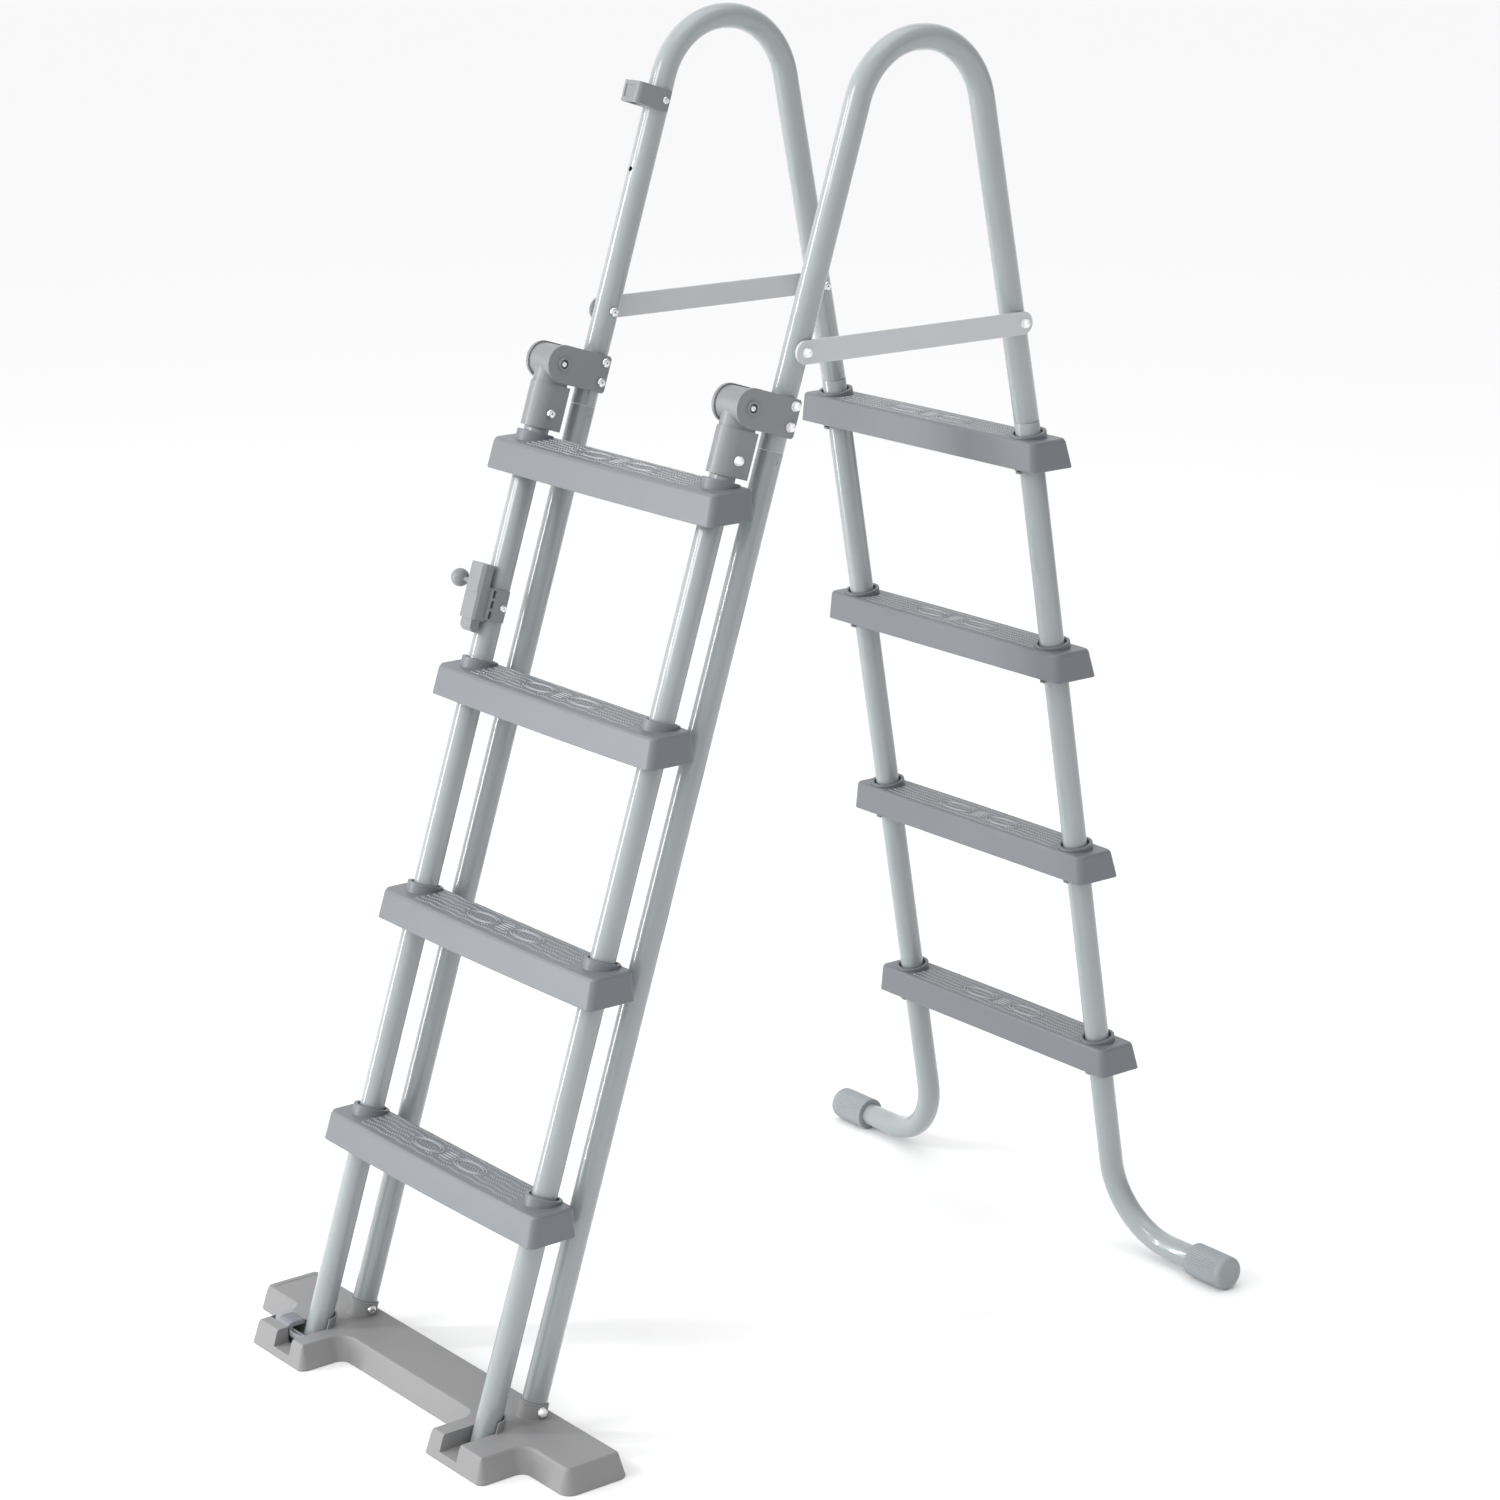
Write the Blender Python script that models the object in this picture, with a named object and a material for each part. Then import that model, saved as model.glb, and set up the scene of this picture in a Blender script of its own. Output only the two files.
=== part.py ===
"""Above-ground pool A-frame ladder with a swing-up outer ladder, a latch and a base plate.

Metres, +Z up. X runs across the ladder, -Y is the side of the swing ladder, +Y is the pool side.
The origin is at the bottom centre of the bounding box.
"""
import math

import bmesh
import bpy
from mathutils import Matrix, Vector

# Tubes
TUBE_RADIUS = 0.016
TUBE_WALL = 0.0015
NECK_CLEARANCE = 0.0003
NECK_LENGTH = 0.070
SIDES = 16
GAP = 0.0003

# Frame layout: leg axes at the ground and how far each leans from the vertical
LEG_SPACING = 0.382
OUTER_LEG_Y = -0.4526
OUTER_LEAN = 17.85
POOL_LEG_Y = 0.5494
POOL_LEAN = 10.11
HANDRAIL_POOL_LEAN = 11.83
OUTER_SEAM_LIFT = 0.0339
POOL_SEAM_LIFT = 0.0215
HANDRAIL_ABOVE_CATCH = 0.0859
HANDRAIL_BEND = 0.100
BEND_SEGMENTS = 5
STOW_HOLE_DROP = 0.0796
STOW_HOLE_RADIUS = 0.0035

# Pool feet
FOOT_BEND = 0.100
FOOT_CAP_WALL = 0.0065
FOOT_CAP_START = 0.149
FOOT_CAP_LENGTH = 0.066
FOOT_CAP_END_WALL = 0.012
FOOT_RIBS = 20
FOOT_RIB_DEPTH = 0.0008
FOOT_CAP_EDGE = 0.004

# Steps
STEP_COUNT = 4
STEP_FIRST = 0.3055
STEP_RISE = 0.281
STEP_HEIGHT = 0.038
STEP_OVERHANG_TOP = 0.038
STEP_OVERHANG_BOTTOM = 0.0415
STEP_DEPTH_TOP = 0.0595
STEP_FRONT_DRAFT = 0.010
STEP_BACK_DRAFT = 0.001
STEP_BULGE = 0.003
STEP_CORNER = 0.009
STEP_EDGE = 0.004
STEP_WALL = 0.0025
SWING_STEP_BACK = 0.021
POOL_STEP_BACK = 0.0275
COLLAR_WALL = 0.0047
COLLAR_LIFT = 0.0065
SLEEVE_WALL = 0.0022
FLANGE_LIP = 0.004
FLANGE_THICKNESS = 0.003
SLEEVE_TOP_DROP = 0.006
SWING_FLANGE_RISE = 0.003
POOL_FLANGE_RISE = -0.0015
TAB_WIDTH = 0.008
TAB_DEPTH = 0.005

# Swing ladder and hinge
SWING_OFFSET = 0.0625
PIVOT_LIFT = 0.0774
SWING_LEG_TOP_DROP = 0.034
CHEEK_RADIUS = 0.0240
BARREL_SIDE_WALL = 0.0037
CHEEK_WALL = 0.0045
CHEEK_BACK = 0.009
BARREL_RADIUS = 0.0220
SOCKET_WALL = 0.005
SOCKET_TOP_DROP = 0.0275
SOCKET_LENGTH = 0.0570
SOCKET_FLAT_BACK = 0.0210
NECK_FLAT_BACK = 0.0165
ELBOW_BOLT_DROP = 0.0640
BRACKET_BOLT_UP = 0.0150
BRACKET_BOLT_DOWN = 0.0105

# Fasteners
BOLT_RADIUS = 0.0030
PIVOT_BOLT_RADIUS = 0.0040
BOLT_HEAD_RADIUS = 0.0060
BOLT_HEAD_HEIGHT = 0.0040
NUT_RADIUS = 0.0060
NUT_HEIGHT = 0.0045
NUT_DOME = 0.0035
PIVOT_HEAD_RADIUS = 0.0052
PIVOT_HEAD_HEIGHT = 0.0018
BOSS_BORE = 0.0056
BOSS_RADIUS = 0.0088
BOSS_HEIGHT = 0.0028
BOLT_SIDES = 10

# Spreader bars
SPREADER_LIFT = 0.1495
SPREADER_HEIGHT = 0.029
SPREADER_THICKNESS = 0.005

# Latch on the left swing leg and the catch on the left handrail
LATCH_LIFT = 0.0548
LATCH_HEIGHT = 0.0715
LATCH_WALL = 0.003
LATCH_HALF_WIDTH = 0.016
LATCH_DEPTH = 0.020
LATCH_CHAMFER = 0.004
SADDLE_LIFT = 0.003
SADDLE_HEIGHT = 0.0405
SADDLE_SIDE_WALL = 0.0042
SADDLE_BACK = 0.006
TONGUE_REACH = 0.016
LATCH_STROKE = 0.0175
SLIDER_HEIGHT = 0.0505
KNOB_LIFT = 0.0455
KNOB_RADIUS = 0.012
KNOB_OUT = 0.043
KNOB_STEM_RADIUS = 0.0032
SPRING_RADIUS = 0.0036
SPRING_WIRE = 0.0005
SPRING_TURNS = 7
SPRING_SEAT_DROP = 0.008
CATCH_CLEARANCE = 0.0006
CATCH_HEIGHT = 0.027
CATCH_SIDE_WALL = 0.0022
CATCH_LEG_GAP = 0.001
CATCH_PLAY_FRONT = 0.0025
CATCH_PLAY_BACK = 0.002
CATCH_PLAY_SIDE = 0.0012
CATCH_WALL = 0.003
CATCH_CORNER = 0.007

# Base plate
BASE_HEIGHT = 0.032
BASE_END_REACH = 0.159
BASE_BAR_BACK = 0.0436
BASE_BAR_FRONT = 0.0514
BASE_LOBE_INNER = 0.052
BASE_LOBE_OUTER = 0.072
BASE_DRAFT = 0.009
BASE_EDGE = 0.0035
BASE_END_CORNER = 0.016
BASE_LOBE_CORNER = 0.011
BASE_INNER_CORNER = 0.012
BASE_FLOOR = 0.004
BASE_WALL = 0.0035
BASE_SOCKET_WALL = 0.0022
BASE_SOCKET_TOP = 0.0508
BASE_BOLT_ALONG = 0.0425
NOTCH_CLEARANCE = 0.002
NOTCH_FLOOR = 0.011
WELL_CLEARANCE = 0.0012
WELL_LEAD = 0.008
CRADLE_HEIGHT = 0.013
CRADLE_WALL = 0.0025

# Lock lever in the left lobe
LEVER_PIVOT_IN = 0.016
LEVER_PIVOT_Z = 0.0245
LEVER_PIN_RADIUS = 0.0025
LEVER_PIN_REACH = 0.0030
LEVER_WIDTH = 0.028
LEVER_LEG_GAP = 0.0050
LEVER_PLATE_BOTTOM = 0.0285
LEVER_PLATE_TOP = 0.0350
LEVER_TONGUE_BOTTOM = 0.0195
LEVER_TONGUE_TOP = 0.0265
LEVER_TONGUE_DEPTH = 0.0085
LEVER_TONGUE_TIP = 0.008
LEVER_ARM = 0.0070
LEVER_CLEARANCE = 0.0006
LEVER_RECESS_FLOOR = 0.0150
LEVER_RIDGES = 8
LEVER_RIDGE_HEIGHT = 0.0014
LEVER_RIDGE_PITCH = 0.0034

SIDE_NAMES = {-1: "left", 1: "right"}
X_AXIS = Vector((1.0, 0.0, 0.0))

# Widths that follow the leg spacing
HALF_SPACING = LEG_SPACING / 2
STEP_WIDTH_TOP = LEG_SPACING + 2 * STEP_OVERHANG_TOP
STEP_WIDTH_BOTTOM = LEG_SPACING + 2 * STEP_OVERHANG_BOTTOM
BASE_HALF_LENGTH = HALF_SPACING + BASE_END_REACH

# Sizes that follow the tube
TUBE_FIT = TUBE_RADIUS + GAP
FOOT_CAP_RADIUS = TUBE_FIT + FOOT_CAP_WALL
COLLAR_RADIUS = TUBE_FIT + SLEEVE_WALL + GAP + COLLAR_WALL
FLANGE_RADIUS = TUBE_FIT + SLEEVE_WALL + FLANGE_LIP
CHEEK_INNER = TUBE_FIT + BARREL_SIDE_WALL
CHEEK_OUTER = CHEEK_INNER + CHEEK_WALL
SOCKET_RADIUS = TUBE_FIT + SOCKET_WALL
SADDLE_HALF_WIDTH = TUBE_FIT + SADDLE_SIDE_WALL
CATCH_HALF_WIDTH = TUBE_FIT + CATCH_SIDE_WALL

# Heights that follow the steps; "along" is measured up the leaning leg
LEAN_COS = math.cos(math.radians(OUTER_LEAN))
LEAN_SIN = math.sin(math.radians(OUTER_LEAN))
TOP_STEP_Z = STEP_FIRST + STEP_RISE * (STEP_COUNT - 1)
TOP_STEP_ALONG = TOP_STEP_Z / LEAN_COS
POOL_SEAM_Z = TOP_STEP_Z + POOL_SEAM_LIFT
SPREADER_Z = TOP_STEP_Z + SPREADER_LIFT
OUTER_SEAM_ALONG = TOP_STEP_ALONG + OUTER_SEAM_LIFT
PIVOT_ALONG = TOP_STEP_ALONG + PIVOT_LIFT
SWING_LEG_TOP = PIVOT_ALONG - SWING_LEG_TOP_DROP
LATCH_BOTTOM = (TOP_STEP_Z - STEP_RISE - SWING_OFFSET * LEAN_SIN) / LEAN_COS + LATCH_LIFT
LATCH_TOP = LATCH_BOTTOM + LATCH_HEIGHT
SADDLE_BOTTOM = LATCH_BOTTOM + SADDLE_LIFT
SADDLE_TOP = SADDLE_BOTTOM + SADDLE_HEIGHT
SLIDER_TOP = LATCH_BOTTOM + SLIDER_HEIGHT
KNOB_ALONG = LATCH_BOTTOM + KNOB_LIFT
SPRING_SEAT = LATCH_BOTTOM - SPRING_SEAT_DROP

# Folded up, the latch is mirrored about the pivot, and the catch and the handrail follow it
CATCH_BOTTOM = 2 * PIVOT_ALONG - LATCH_BOTTOM + CATCH_CLEARANCE
CATCH_TOP = CATCH_BOTTOM + CATCH_HEIGHT
STOW_HOLE_ALONG = CATCH_BOTTOM - STOW_HOLE_DROP
HANDRAIL_TOP_Z = CATCH_TOP * LEAN_COS + HANDRAIL_ABOVE_CATCH


# ---------------------------------------------------------------- materials

def material(name, colour, roughness, metallic=0.0):
    mat = bpy.data.materials.new(name)
    mat.use_nodes = True
    shader = mat.node_tree.nodes["Principled BSDF"]
    shader.inputs["Base Color"].default_value = (*colour, 1.0)
    shader.inputs["Roughness"].default_value = roughness
    shader.inputs["Metallic"].default_value = metallic
    mat.diffuse_color = (*colour, 1.0)
    return mat


# ---------------------------------------------------------------- mesh helpers

def make_object(name, vertices, faces, mat):
    mesh = bpy.data.meshes.new(name)
    mesh.from_pydata([tuple(v) for v in vertices], [], faces)
    work = bmesh.new()
    work.from_mesh(mesh)
    bmesh.ops.recalc_face_normals(work, faces=work.faces)
    work.to_mesh(mesh)
    work.free()
    obj = bpy.data.objects.new(name, mesh)
    bpy.context.scene.collection.objects.link(obj)
    if mat is not None:
        mesh.materials.append(mat)
    return obj


def loft(name, rings, mat=None):
    """A closed solid through rings of equal point count, with flat ends."""
    count = len(rings[0])
    vertices = [p for ring in rings for p in ring]
    faces = [tuple(range(count))]
    faces.append(tuple((len(rings) - 1) * count + k for k in range(count)))
    for level in range(len(rings) - 1):
        low = level * count
        high = low + count
        for k in range(count):
            nxt = (k + 1) % count
            faces.append((low + k, low + nxt, high + nxt, high + k))
    return make_object(name, vertices, faces, mat)


def pipe(name, outer_rings, inner_rings, mat=None):
    """A hollow solid open at both ends, from matching outer and inner rings."""
    count = len(outer_rings[0])
    levels = len(outer_rings)
    vertices = [p for ring in outer_rings for p in ring]
    vertices += [p for ring in inner_rings for p in ring]
    shift = levels * count
    faces = []
    for level in range(levels - 1):
        for k in range(count):
            nxt = (k + 1) % count
            a, b = level * count + k, level * count + nxt
            faces.append((a, b, b + count, a + count))
            faces.append((shift + a, shift + a + count, shift + b + count, shift + b))
    for level in (0, levels - 1):
        for k in range(count):
            nxt = (k + 1) % count
            a, b = level * count + k, level * count + nxt
            faces.append((a, shift + a, shift + b, b))
    return make_object(name, vertices, faces, mat)


def circle(frame, radius, along, sides=SIDES):
    return [
        frame @ Vector((
            radius * math.cos(2 * math.pi * k / sides),
            radius * math.sin(2 * math.pi * k / sides),
            along,
        ))
        for k in range(sides)
    ]


def turned(name, frame, profile, mat=None, sides=SIDES):
    """A solid of revolution about the frame's Z axis: profile is (radius, along), end to end."""
    return loft(name, [circle(frame, r, z, sides) for r, z in profile], mat)


def turned_pipe(name, frame, outer, inner, mat=None, sides=SIDES):
    """A hollow solid of revolution: two matching (radius, along) profiles."""
    return pipe(
        name,
        [circle(frame, r, z, sides) for r, z in outer],
        [circle(frame, r, z, sides) for r, z in inner],
        mat,
    )


def prism(name, frame, outline, low, high, mat=None):
    """The outline, in the frame's X and Y, extruded along its Z axis."""
    return loft(name, [[frame @ Vector((x, y, z)) for x, y in outline] for z in (low, high)], mat)


def box(name, frame, low, high, mat=None):
    outline = [(low[0], low[1]), (high[0], low[1]), (high[0], high[1]), (low[0], high[1])]
    return prism(name, frame, outline, low[2], high[2], mat)


def boolean(obj, other, operation):
    """Applies one exact Boolean and removes the second solid."""
    modifier = obj.modifiers.new("cut", "BOOLEAN")
    modifier.operation = operation
    modifier.solver = "EXACT"
    modifier.object = other
    bpy.context.view_layer.update()
    depsgraph = bpy.context.evaluated_depsgraph_get()
    mesh = bpy.data.meshes.new_from_object(obj.evaluated_get(depsgraph))
    obj.modifiers.remove(modifier)
    spare = obj.data
    obj.data = mesh
    bpy.data.meshes.remove(spare)
    bpy.data.objects.remove(other)


def cut(obj, other):
    boolean(obj, other, "DIFFERENCE")


def add(obj, other):
    boolean(obj, other, "UNION")


def bore_x(obj, centre, radius, reach, sides=BOLT_SIDES):
    """Drills a hole along X through the centre, reaching both ways."""
    frame = x_frame(centre)
    cut(obj, turned("drill", frame, [(radius, -reach), (radius, reach)], sides=sides))


def rounded(corners, inset=0.0, segments=4):
    """A counter-clockwise outline of (x, y, radius) corners, moved inward by inset and filleted."""
    count = len(corners)
    points = []
    moved = []
    for i in range(count):
        before = Vector(corners[i - 1][:2])
        here = Vector(corners[i][:2])
        after = Vector(corners[(i + 1) % count][:2])
        first = (here - before).normalized()
        second = (after - here).normalized()
        left_first = Vector((-first.y, first.x))
        left_second = Vector((-second.y, second.x))
        half = (left_first + left_second).normalized()
        moved.append(here + half * (inset / half.dot(left_first)))
    for i in range(count):
        here = moved[i]
        to_before = (moved[i - 1] - here).normalized()
        to_after = (moved[(i + 1) % count] - here).normalized()
        turn = to_before.x * to_after.y - to_before.y * to_after.x
        radius = corners[i][2]
        if radius > 0:
            radius = max(radius - inset, 0.0008) if turn < 0 else radius + inset
        if radius == 0:
            points.append((here.x, here.y))
            continue
        half_angle = to_before.angle(to_after) / 2
        centre = here + (to_before + to_after).normalized() * (radius / math.sin(half_angle))
        start = here + to_before * (radius / math.tan(half_angle)) - centre
        sweep = math.pi - 2 * half_angle
        direction = 1 if turn < 0 else -1
        for k in range(segments + 1):
            angle = direction * sweep * k / segments
            spin = Matrix.Rotation(angle, 2)
            p = centre + spin @ start
            points.append((p.x, p.y))
    return points


# ---------------------------------------------------------------- frames of reference

def leg_frame(side, foot_y, lean, offset=0.0):
    """Local Z runs up the leg, local Y points to the pool side, and the origin is at the ground."""
    angle = math.radians(lean)
    up = Vector((0.0, math.sin(angle), math.cos(angle)))
    across = Vector((0.0, math.cos(angle), -math.sin(angle)))
    origin = Vector((side * HALF_SPACING, foot_y, 0.0)) + across * offset
    return axes_frame(origin, X_AXIS, across, up)


def axes_frame(origin, x, y, z):
    frame = Matrix.Identity(4)
    for column, axis in enumerate((x, y, z)):
        for row in range(3):
            frame[row][column] = axis[row]
    frame.translation = origin
    return frame


def x_frame(centre):
    """Local Z points along +X."""
    return axes_frame(centre, Vector((0.0, 1.0, 0.0)), Vector((0.0, 0.0, 1.0)), X_AXIS)


def outer_frame(side):
    return leg_frame(side, OUTER_LEG_Y, OUTER_LEAN)


def swing_frame(side):
    return leg_frame(side, OUTER_LEG_Y, OUTER_LEAN, -SWING_OFFSET)


def pool_frame(side):
    return leg_frame(side, POOL_LEG_Y, -POOL_LEAN)


def handrail_pool_point(side, z):
    """A point on the axis of the handrail's pool-side limb."""
    seam_y = POOL_LEG_Y - POOL_SEAM_Z * math.tan(math.radians(POOL_LEAN))
    y = seam_y - (z - POOL_SEAM_Z) * math.tan(math.radians(HANDRAIL_POOL_LEAN))
    return Vector((side * HALF_SPACING, y, z))


def outer_point(side, z):
    """A point on the axis of the outer leg and handrail."""
    y = OUTER_LEG_Y + z * math.tan(math.radians(OUTER_LEAN))
    return Vector((side * HALF_SPACING, y, z))


# ---------------------------------------------------------------- swept tubes

def path_rings(points, radii, first_across):
    """Rings of the given radii square to a path, carried along without twist."""
    rings = []
    across = first_across.copy()
    last = len(points) - 1
    for i, point in enumerate(points):
        before = points[max(i - 1, 0)]
        after = points[min(i + 1, last)]
        into = (point - before).normalized() if i else (after - point).normalized()
        out = (after - point).normalized() if i < last else into
        tangent = (into + out).normalized()
        across = (across - tangent * across.dot(tangent)).normalized()
        other = tangent.cross(across)
        rings.append([
            point + across * (radii[i] * math.cos(2 * math.pi * k / SIDES))
            + other * (radii[i] * math.sin(2 * math.pi * k / SIDES))
            for k in range(SIDES)
        ])
    return rings


def fillet_points(before, corner, after, radius):
    """Points along an arc that joins two straight runs."""
    to_before = (before - corner).normalized()
    to_after = (after - corner).normalized()
    half = to_before.angle(to_after) / 2
    centre = corner + (to_before + to_after).normalized() * (radius / math.sin(half))
    start = corner + to_before * (radius / math.tan(half)) - centre
    axis = to_before.cross(to_after).normalized()
    sweep = -(math.pi - 2 * half)
    return [
        centre + Matrix.Rotation(sweep * k / BEND_SEGMENTS, 3, axis) @ start
        for k in range(BEND_SEGMENTS + 1)
    ]


def handrail(side, mat):
    name = f"handrail_{SIDE_NAMES[side]}"
    start = outer_frame(side) @ Vector((0, 0, OUTER_SEAM_ALONG + GAP))
    end = handrail_pool_point(side, POOL_SEAM_Z + GAP)
    corner_out = outer_point(side, HANDRAIL_TOP_Z)
    corner_in = handrail_pool_point(side, HANDRAIL_TOP_Z)
    points = [start]
    points += fillet_points(start, corner_out, corner_in, HANDRAIL_BEND)
    points += fillet_points(corner_out, corner_in, end, HANDRAIL_BEND)
    points += [end]
    outer = path_rings(points, [TUBE_RADIUS] * len(points), X_AXIS)
    inner = path_rings(points, [TUBE_RADIUS - TUBE_WALL] * len(points), X_AXIS)
    obj = pipe(name, outer, inner, mat)
    drill_bracket_holes(obj, side)
    for z_point in (outer_point(side, SPREADER_Z), handrail_pool_point(side, SPREADER_Z)):
        bore_x(obj, z_point, BOLT_RADIUS + GAP, 2 * TUBE_RADIUS)
    if side < 0:
        drill_stow_hole(obj, side)
    return obj


def drill_bracket_holes(obj, side):
    for lift in (BRACKET_BOLT_UP, -BRACKET_BOLT_DOWN):
        centre = outer_frame(side) @ Vector((0, 0, PIVOT_ALONG + lift))
        bore_x(obj, centre, BOLT_RADIUS + GAP, 2 * TUBE_RADIUS)


def drill_stow_hole(obj, side):
    frame = outer_frame(side)
    centre = frame @ Vector((0, -TUBE_RADIUS, STOW_HOLE_ALONG))
    across = frame.to_3x3() @ Vector((0, 1, 0))
    up = frame.to_3x3() @ Vector((0, 0, 1))
    drill = axes_frame(centre, up.cross(across), up, across)
    profile = [(STOW_HOLE_RADIUS, -TUBE_RADIUS / 2), (STOW_HOLE_RADIUS, TUBE_RADIUS / 2)]
    cut(obj, turned("drill", drill, profile, sides=BOLT_SIDES))


def neck_radii():
    bore = TUBE_RADIUS - TUBE_WALL
    return bore - NECK_CLEARANCE, bore - NECK_CLEARANCE - TUBE_WALL


def outer_leg(side, mat):
    """A straight leg from its base socket to the seam, with a reduced neck inside the handrail."""
    frame = outer_frame(side)
    neck_out, neck_in = neck_radii()
    bore = TUBE_RADIUS - TUBE_WALL
    start, seam, end = socket_floor_along() + GAP, OUTER_SEAM_ALONG, OUTER_SEAM_ALONG + NECK_LENGTH
    outer_profile = [(TUBE_RADIUS, start), (TUBE_RADIUS, seam), (neck_out, seam), (neck_out, end)]
    inner_profile = [(bore, start), (bore, seam - TUBE_WALL), (neck_in, seam + TUBE_WALL), (neck_in, end)]
    obj = turned_pipe(f"outer_leg_{SIDE_NAMES[side]}", frame, outer_profile, inner_profile, mat)
    drill_bracket_holes(obj, side)
    bore_x(obj, frame @ Vector((0, 0, BASE_BOLT_ALONG)), BOLT_RADIUS + GAP, 2 * TUBE_RADIUS)
    return obj


def pool_leg(side, mat):
    """A leg from its seam down to a bend that turns the foot outward."""
    frame = pool_frame(side)
    neck_out, neck_in = neck_radii()
    seam = handrail_pool_point(side, POOL_SEAM_Z)
    upward = (handrail_pool_point(side, POOL_SEAM_Z + 1.0) - seam).normalized()
    corner = frame @ Vector((0, 0, foot_axis_along()))
    outward = Vector((side, 0, 0))
    end = corner + outward * (FOOT_CAP_START + FOOT_CAP_LENGTH - FOOT_CAP_END_WALL - GAP)
    bend = fillet_points(seam, corner, corner + outward, FOOT_BEND)
    points = [seam + upward * NECK_LENGTH, seam + upward * TUBE_WALL, seam] + bend + [end]
    plain = len(points) - 2
    outer = path_rings(points, [neck_out] * 2 + [TUBE_RADIUS] * plain, X_AXIS)
    inner = path_rings(points, [neck_in] * 2 + [TUBE_RADIUS - TUBE_WALL] * plain, X_AXIS)
    # The outer shoulder is square, so the neck's first ring sits at the seam.
    outer[1] = [p - upward * TUBE_WALL * 0.999 for p in outer[1]]
    return pipe(f"pool_leg_{SIDE_NAMES[side]}", outer, inner, mat)


def foot_axis_along():
    """Where the pool leg's axis reaches the height of the foot's axis."""
    return FOOT_CAP_RADIUS / math.cos(math.radians(POOL_LEAN))


def ribbed_circle(frame, radius, depth, along):
    """A ring of ribs that run lengthwise, with grooves of the given depth between them."""
    count = 2 * FOOT_RIBS
    ring = []
    for k in range(count):
        angle = 2 * math.pi * k / count
        reach = radius - depth * (k % 2)
        ring.append(frame @ Vector((reach * math.cos(angle), reach * math.sin(angle), along)))
    return ring


def foot_cap(side, mat):
    """A cup on the end of the outward foot, ribbed lengthwise, with a smooth domed tip."""
    corner = pool_frame(side) @ Vector((0, 0, foot_axis_along()))
    outward = Vector((side, 0, 0))
    frame = axes_frame(corner, Vector((0, side, 0)), Vector((0, 0, 1)), outward)
    start, end = FOOT_CAP_START, FOOT_CAP_START + FOOT_CAP_LENGTH
    stations = [
        (FOOT_CAP_RADIUS, FOOT_RIB_DEPTH, start),
        (FOOT_CAP_RADIUS, FOOT_RIB_DEPTH, end - 2 * FOOT_CAP_EDGE),
        (FOOT_CAP_RADIUS, 0.0, end - FOOT_CAP_EDGE),
        (FOOT_CAP_RADIUS - FOOT_CAP_EDGE / 3, 0.0, end - FOOT_CAP_EDGE / 3),
        (FOOT_CAP_RADIUS - FOOT_CAP_EDGE, 0.0, end),
    ]
    rings = [ribbed_circle(frame, radius, depth, along) for radius, depth, along in stations]
    obj = loft(f"foot_cap_{SIDE_NAMES[side]}", rings, mat)
    bore = TUBE_RADIUS + GAP
    up = pool_frame(side).to_3x3() @ Vector((0, 0, 1))
    fit = axes_frame(corner, up.cross(outward), up, outward)
    cut(obj, turned("bore", fit, [(bore, start - FOOT_CAP_END_WALL), (bore, end - FOOT_CAP_END_WALL)]))
    return obj


# ---------------------------------------------------------------- steps

def step_outline(user, width, front, back, inset):
    """A rounded outline with a gently bowed front; user is the Y direction of the climber."""
    half = width / 2
    corners = [(-half, -back, STEP_CORNER), (half, -back, STEP_CORNER)]
    corners += [(half, front, STEP_CORNER)]
    for share in (0.5, 0.0, -0.5):
        corners.append((half * share, front + STEP_BULGE * (1 - share * share), 0))
    corners += [(-half, front, STEP_CORNER)]
    return [(x, y * user) for x, y in rounded(corners, inset, segments=2)]


def step_shell(name, user, axis_y, top_z, back, mat):
    """The tapered hollow moulding of one step, open underneath."""
    front = STEP_DEPTH_TOP - back
    bottom_z = top_z - STEP_HEIGHT

    def ring(share, inset, z):
        width = STEP_WIDTH_BOTTOM + (STEP_WIDTH_TOP - STEP_WIDTH_BOTTOM) * share
        draft_front = STEP_FRONT_DRAFT * (1 - share)
        draft_back = STEP_BACK_DRAFT * (1 - share)
        outline = step_outline(user, width, front + draft_front, back + draft_back, inset)
        return [Vector((x, axis_y + y, z)) for x, y in outline]

    shoulder = 1 - STEP_EDGE / STEP_HEIGHT
    rings = [
        ring(0.0, 0.0, bottom_z),
        ring(shoulder, 0.0, top_z - STEP_EDGE),
        ring(1.0, STEP_EDGE * 0.3, top_z - STEP_EDGE * 0.3),
        ring(1.0, STEP_EDGE, top_z),
    ]
    shell = loft(name, rings, mat)
    hollow = [
        ring(0.0, STEP_WALL, bottom_z - STEP_WALL),
        ring(0.0, STEP_WALL, bottom_z),
        ring(1.0, STEP_WALL + STEP_EDGE * 0.3, top_z - STEP_WALL),
    ]
    cut(shell, loft("hollow", hollow))
    return shell


def step_levels(frame_of, top_z, flange_rise):
    """Stations along the leg of one step: collar top, flange top and flange bottom."""
    frame = frame_of(1)
    lean = frame.to_3x3() @ Vector((0, 0, 1))
    collar_top = (top_z + COLLAR_LIFT - frame.translation.z) / lean.z
    flange_top = (top_z - STEP_HEIGHT + flange_rise + FLANGE_THICKNESS / 2 - frame.translation.z) / lean.z
    return collar_top, flange_top, flange_top - FLANGE_THICKNESS


def axis_y_at(frame_of, z):
    frame = frame_of(1)
    lean = frame.to_3x3() @ Vector((0, 0, 1))
    return frame.translation.y + (z - frame.translation.z) * lean.y / lean.z


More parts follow.
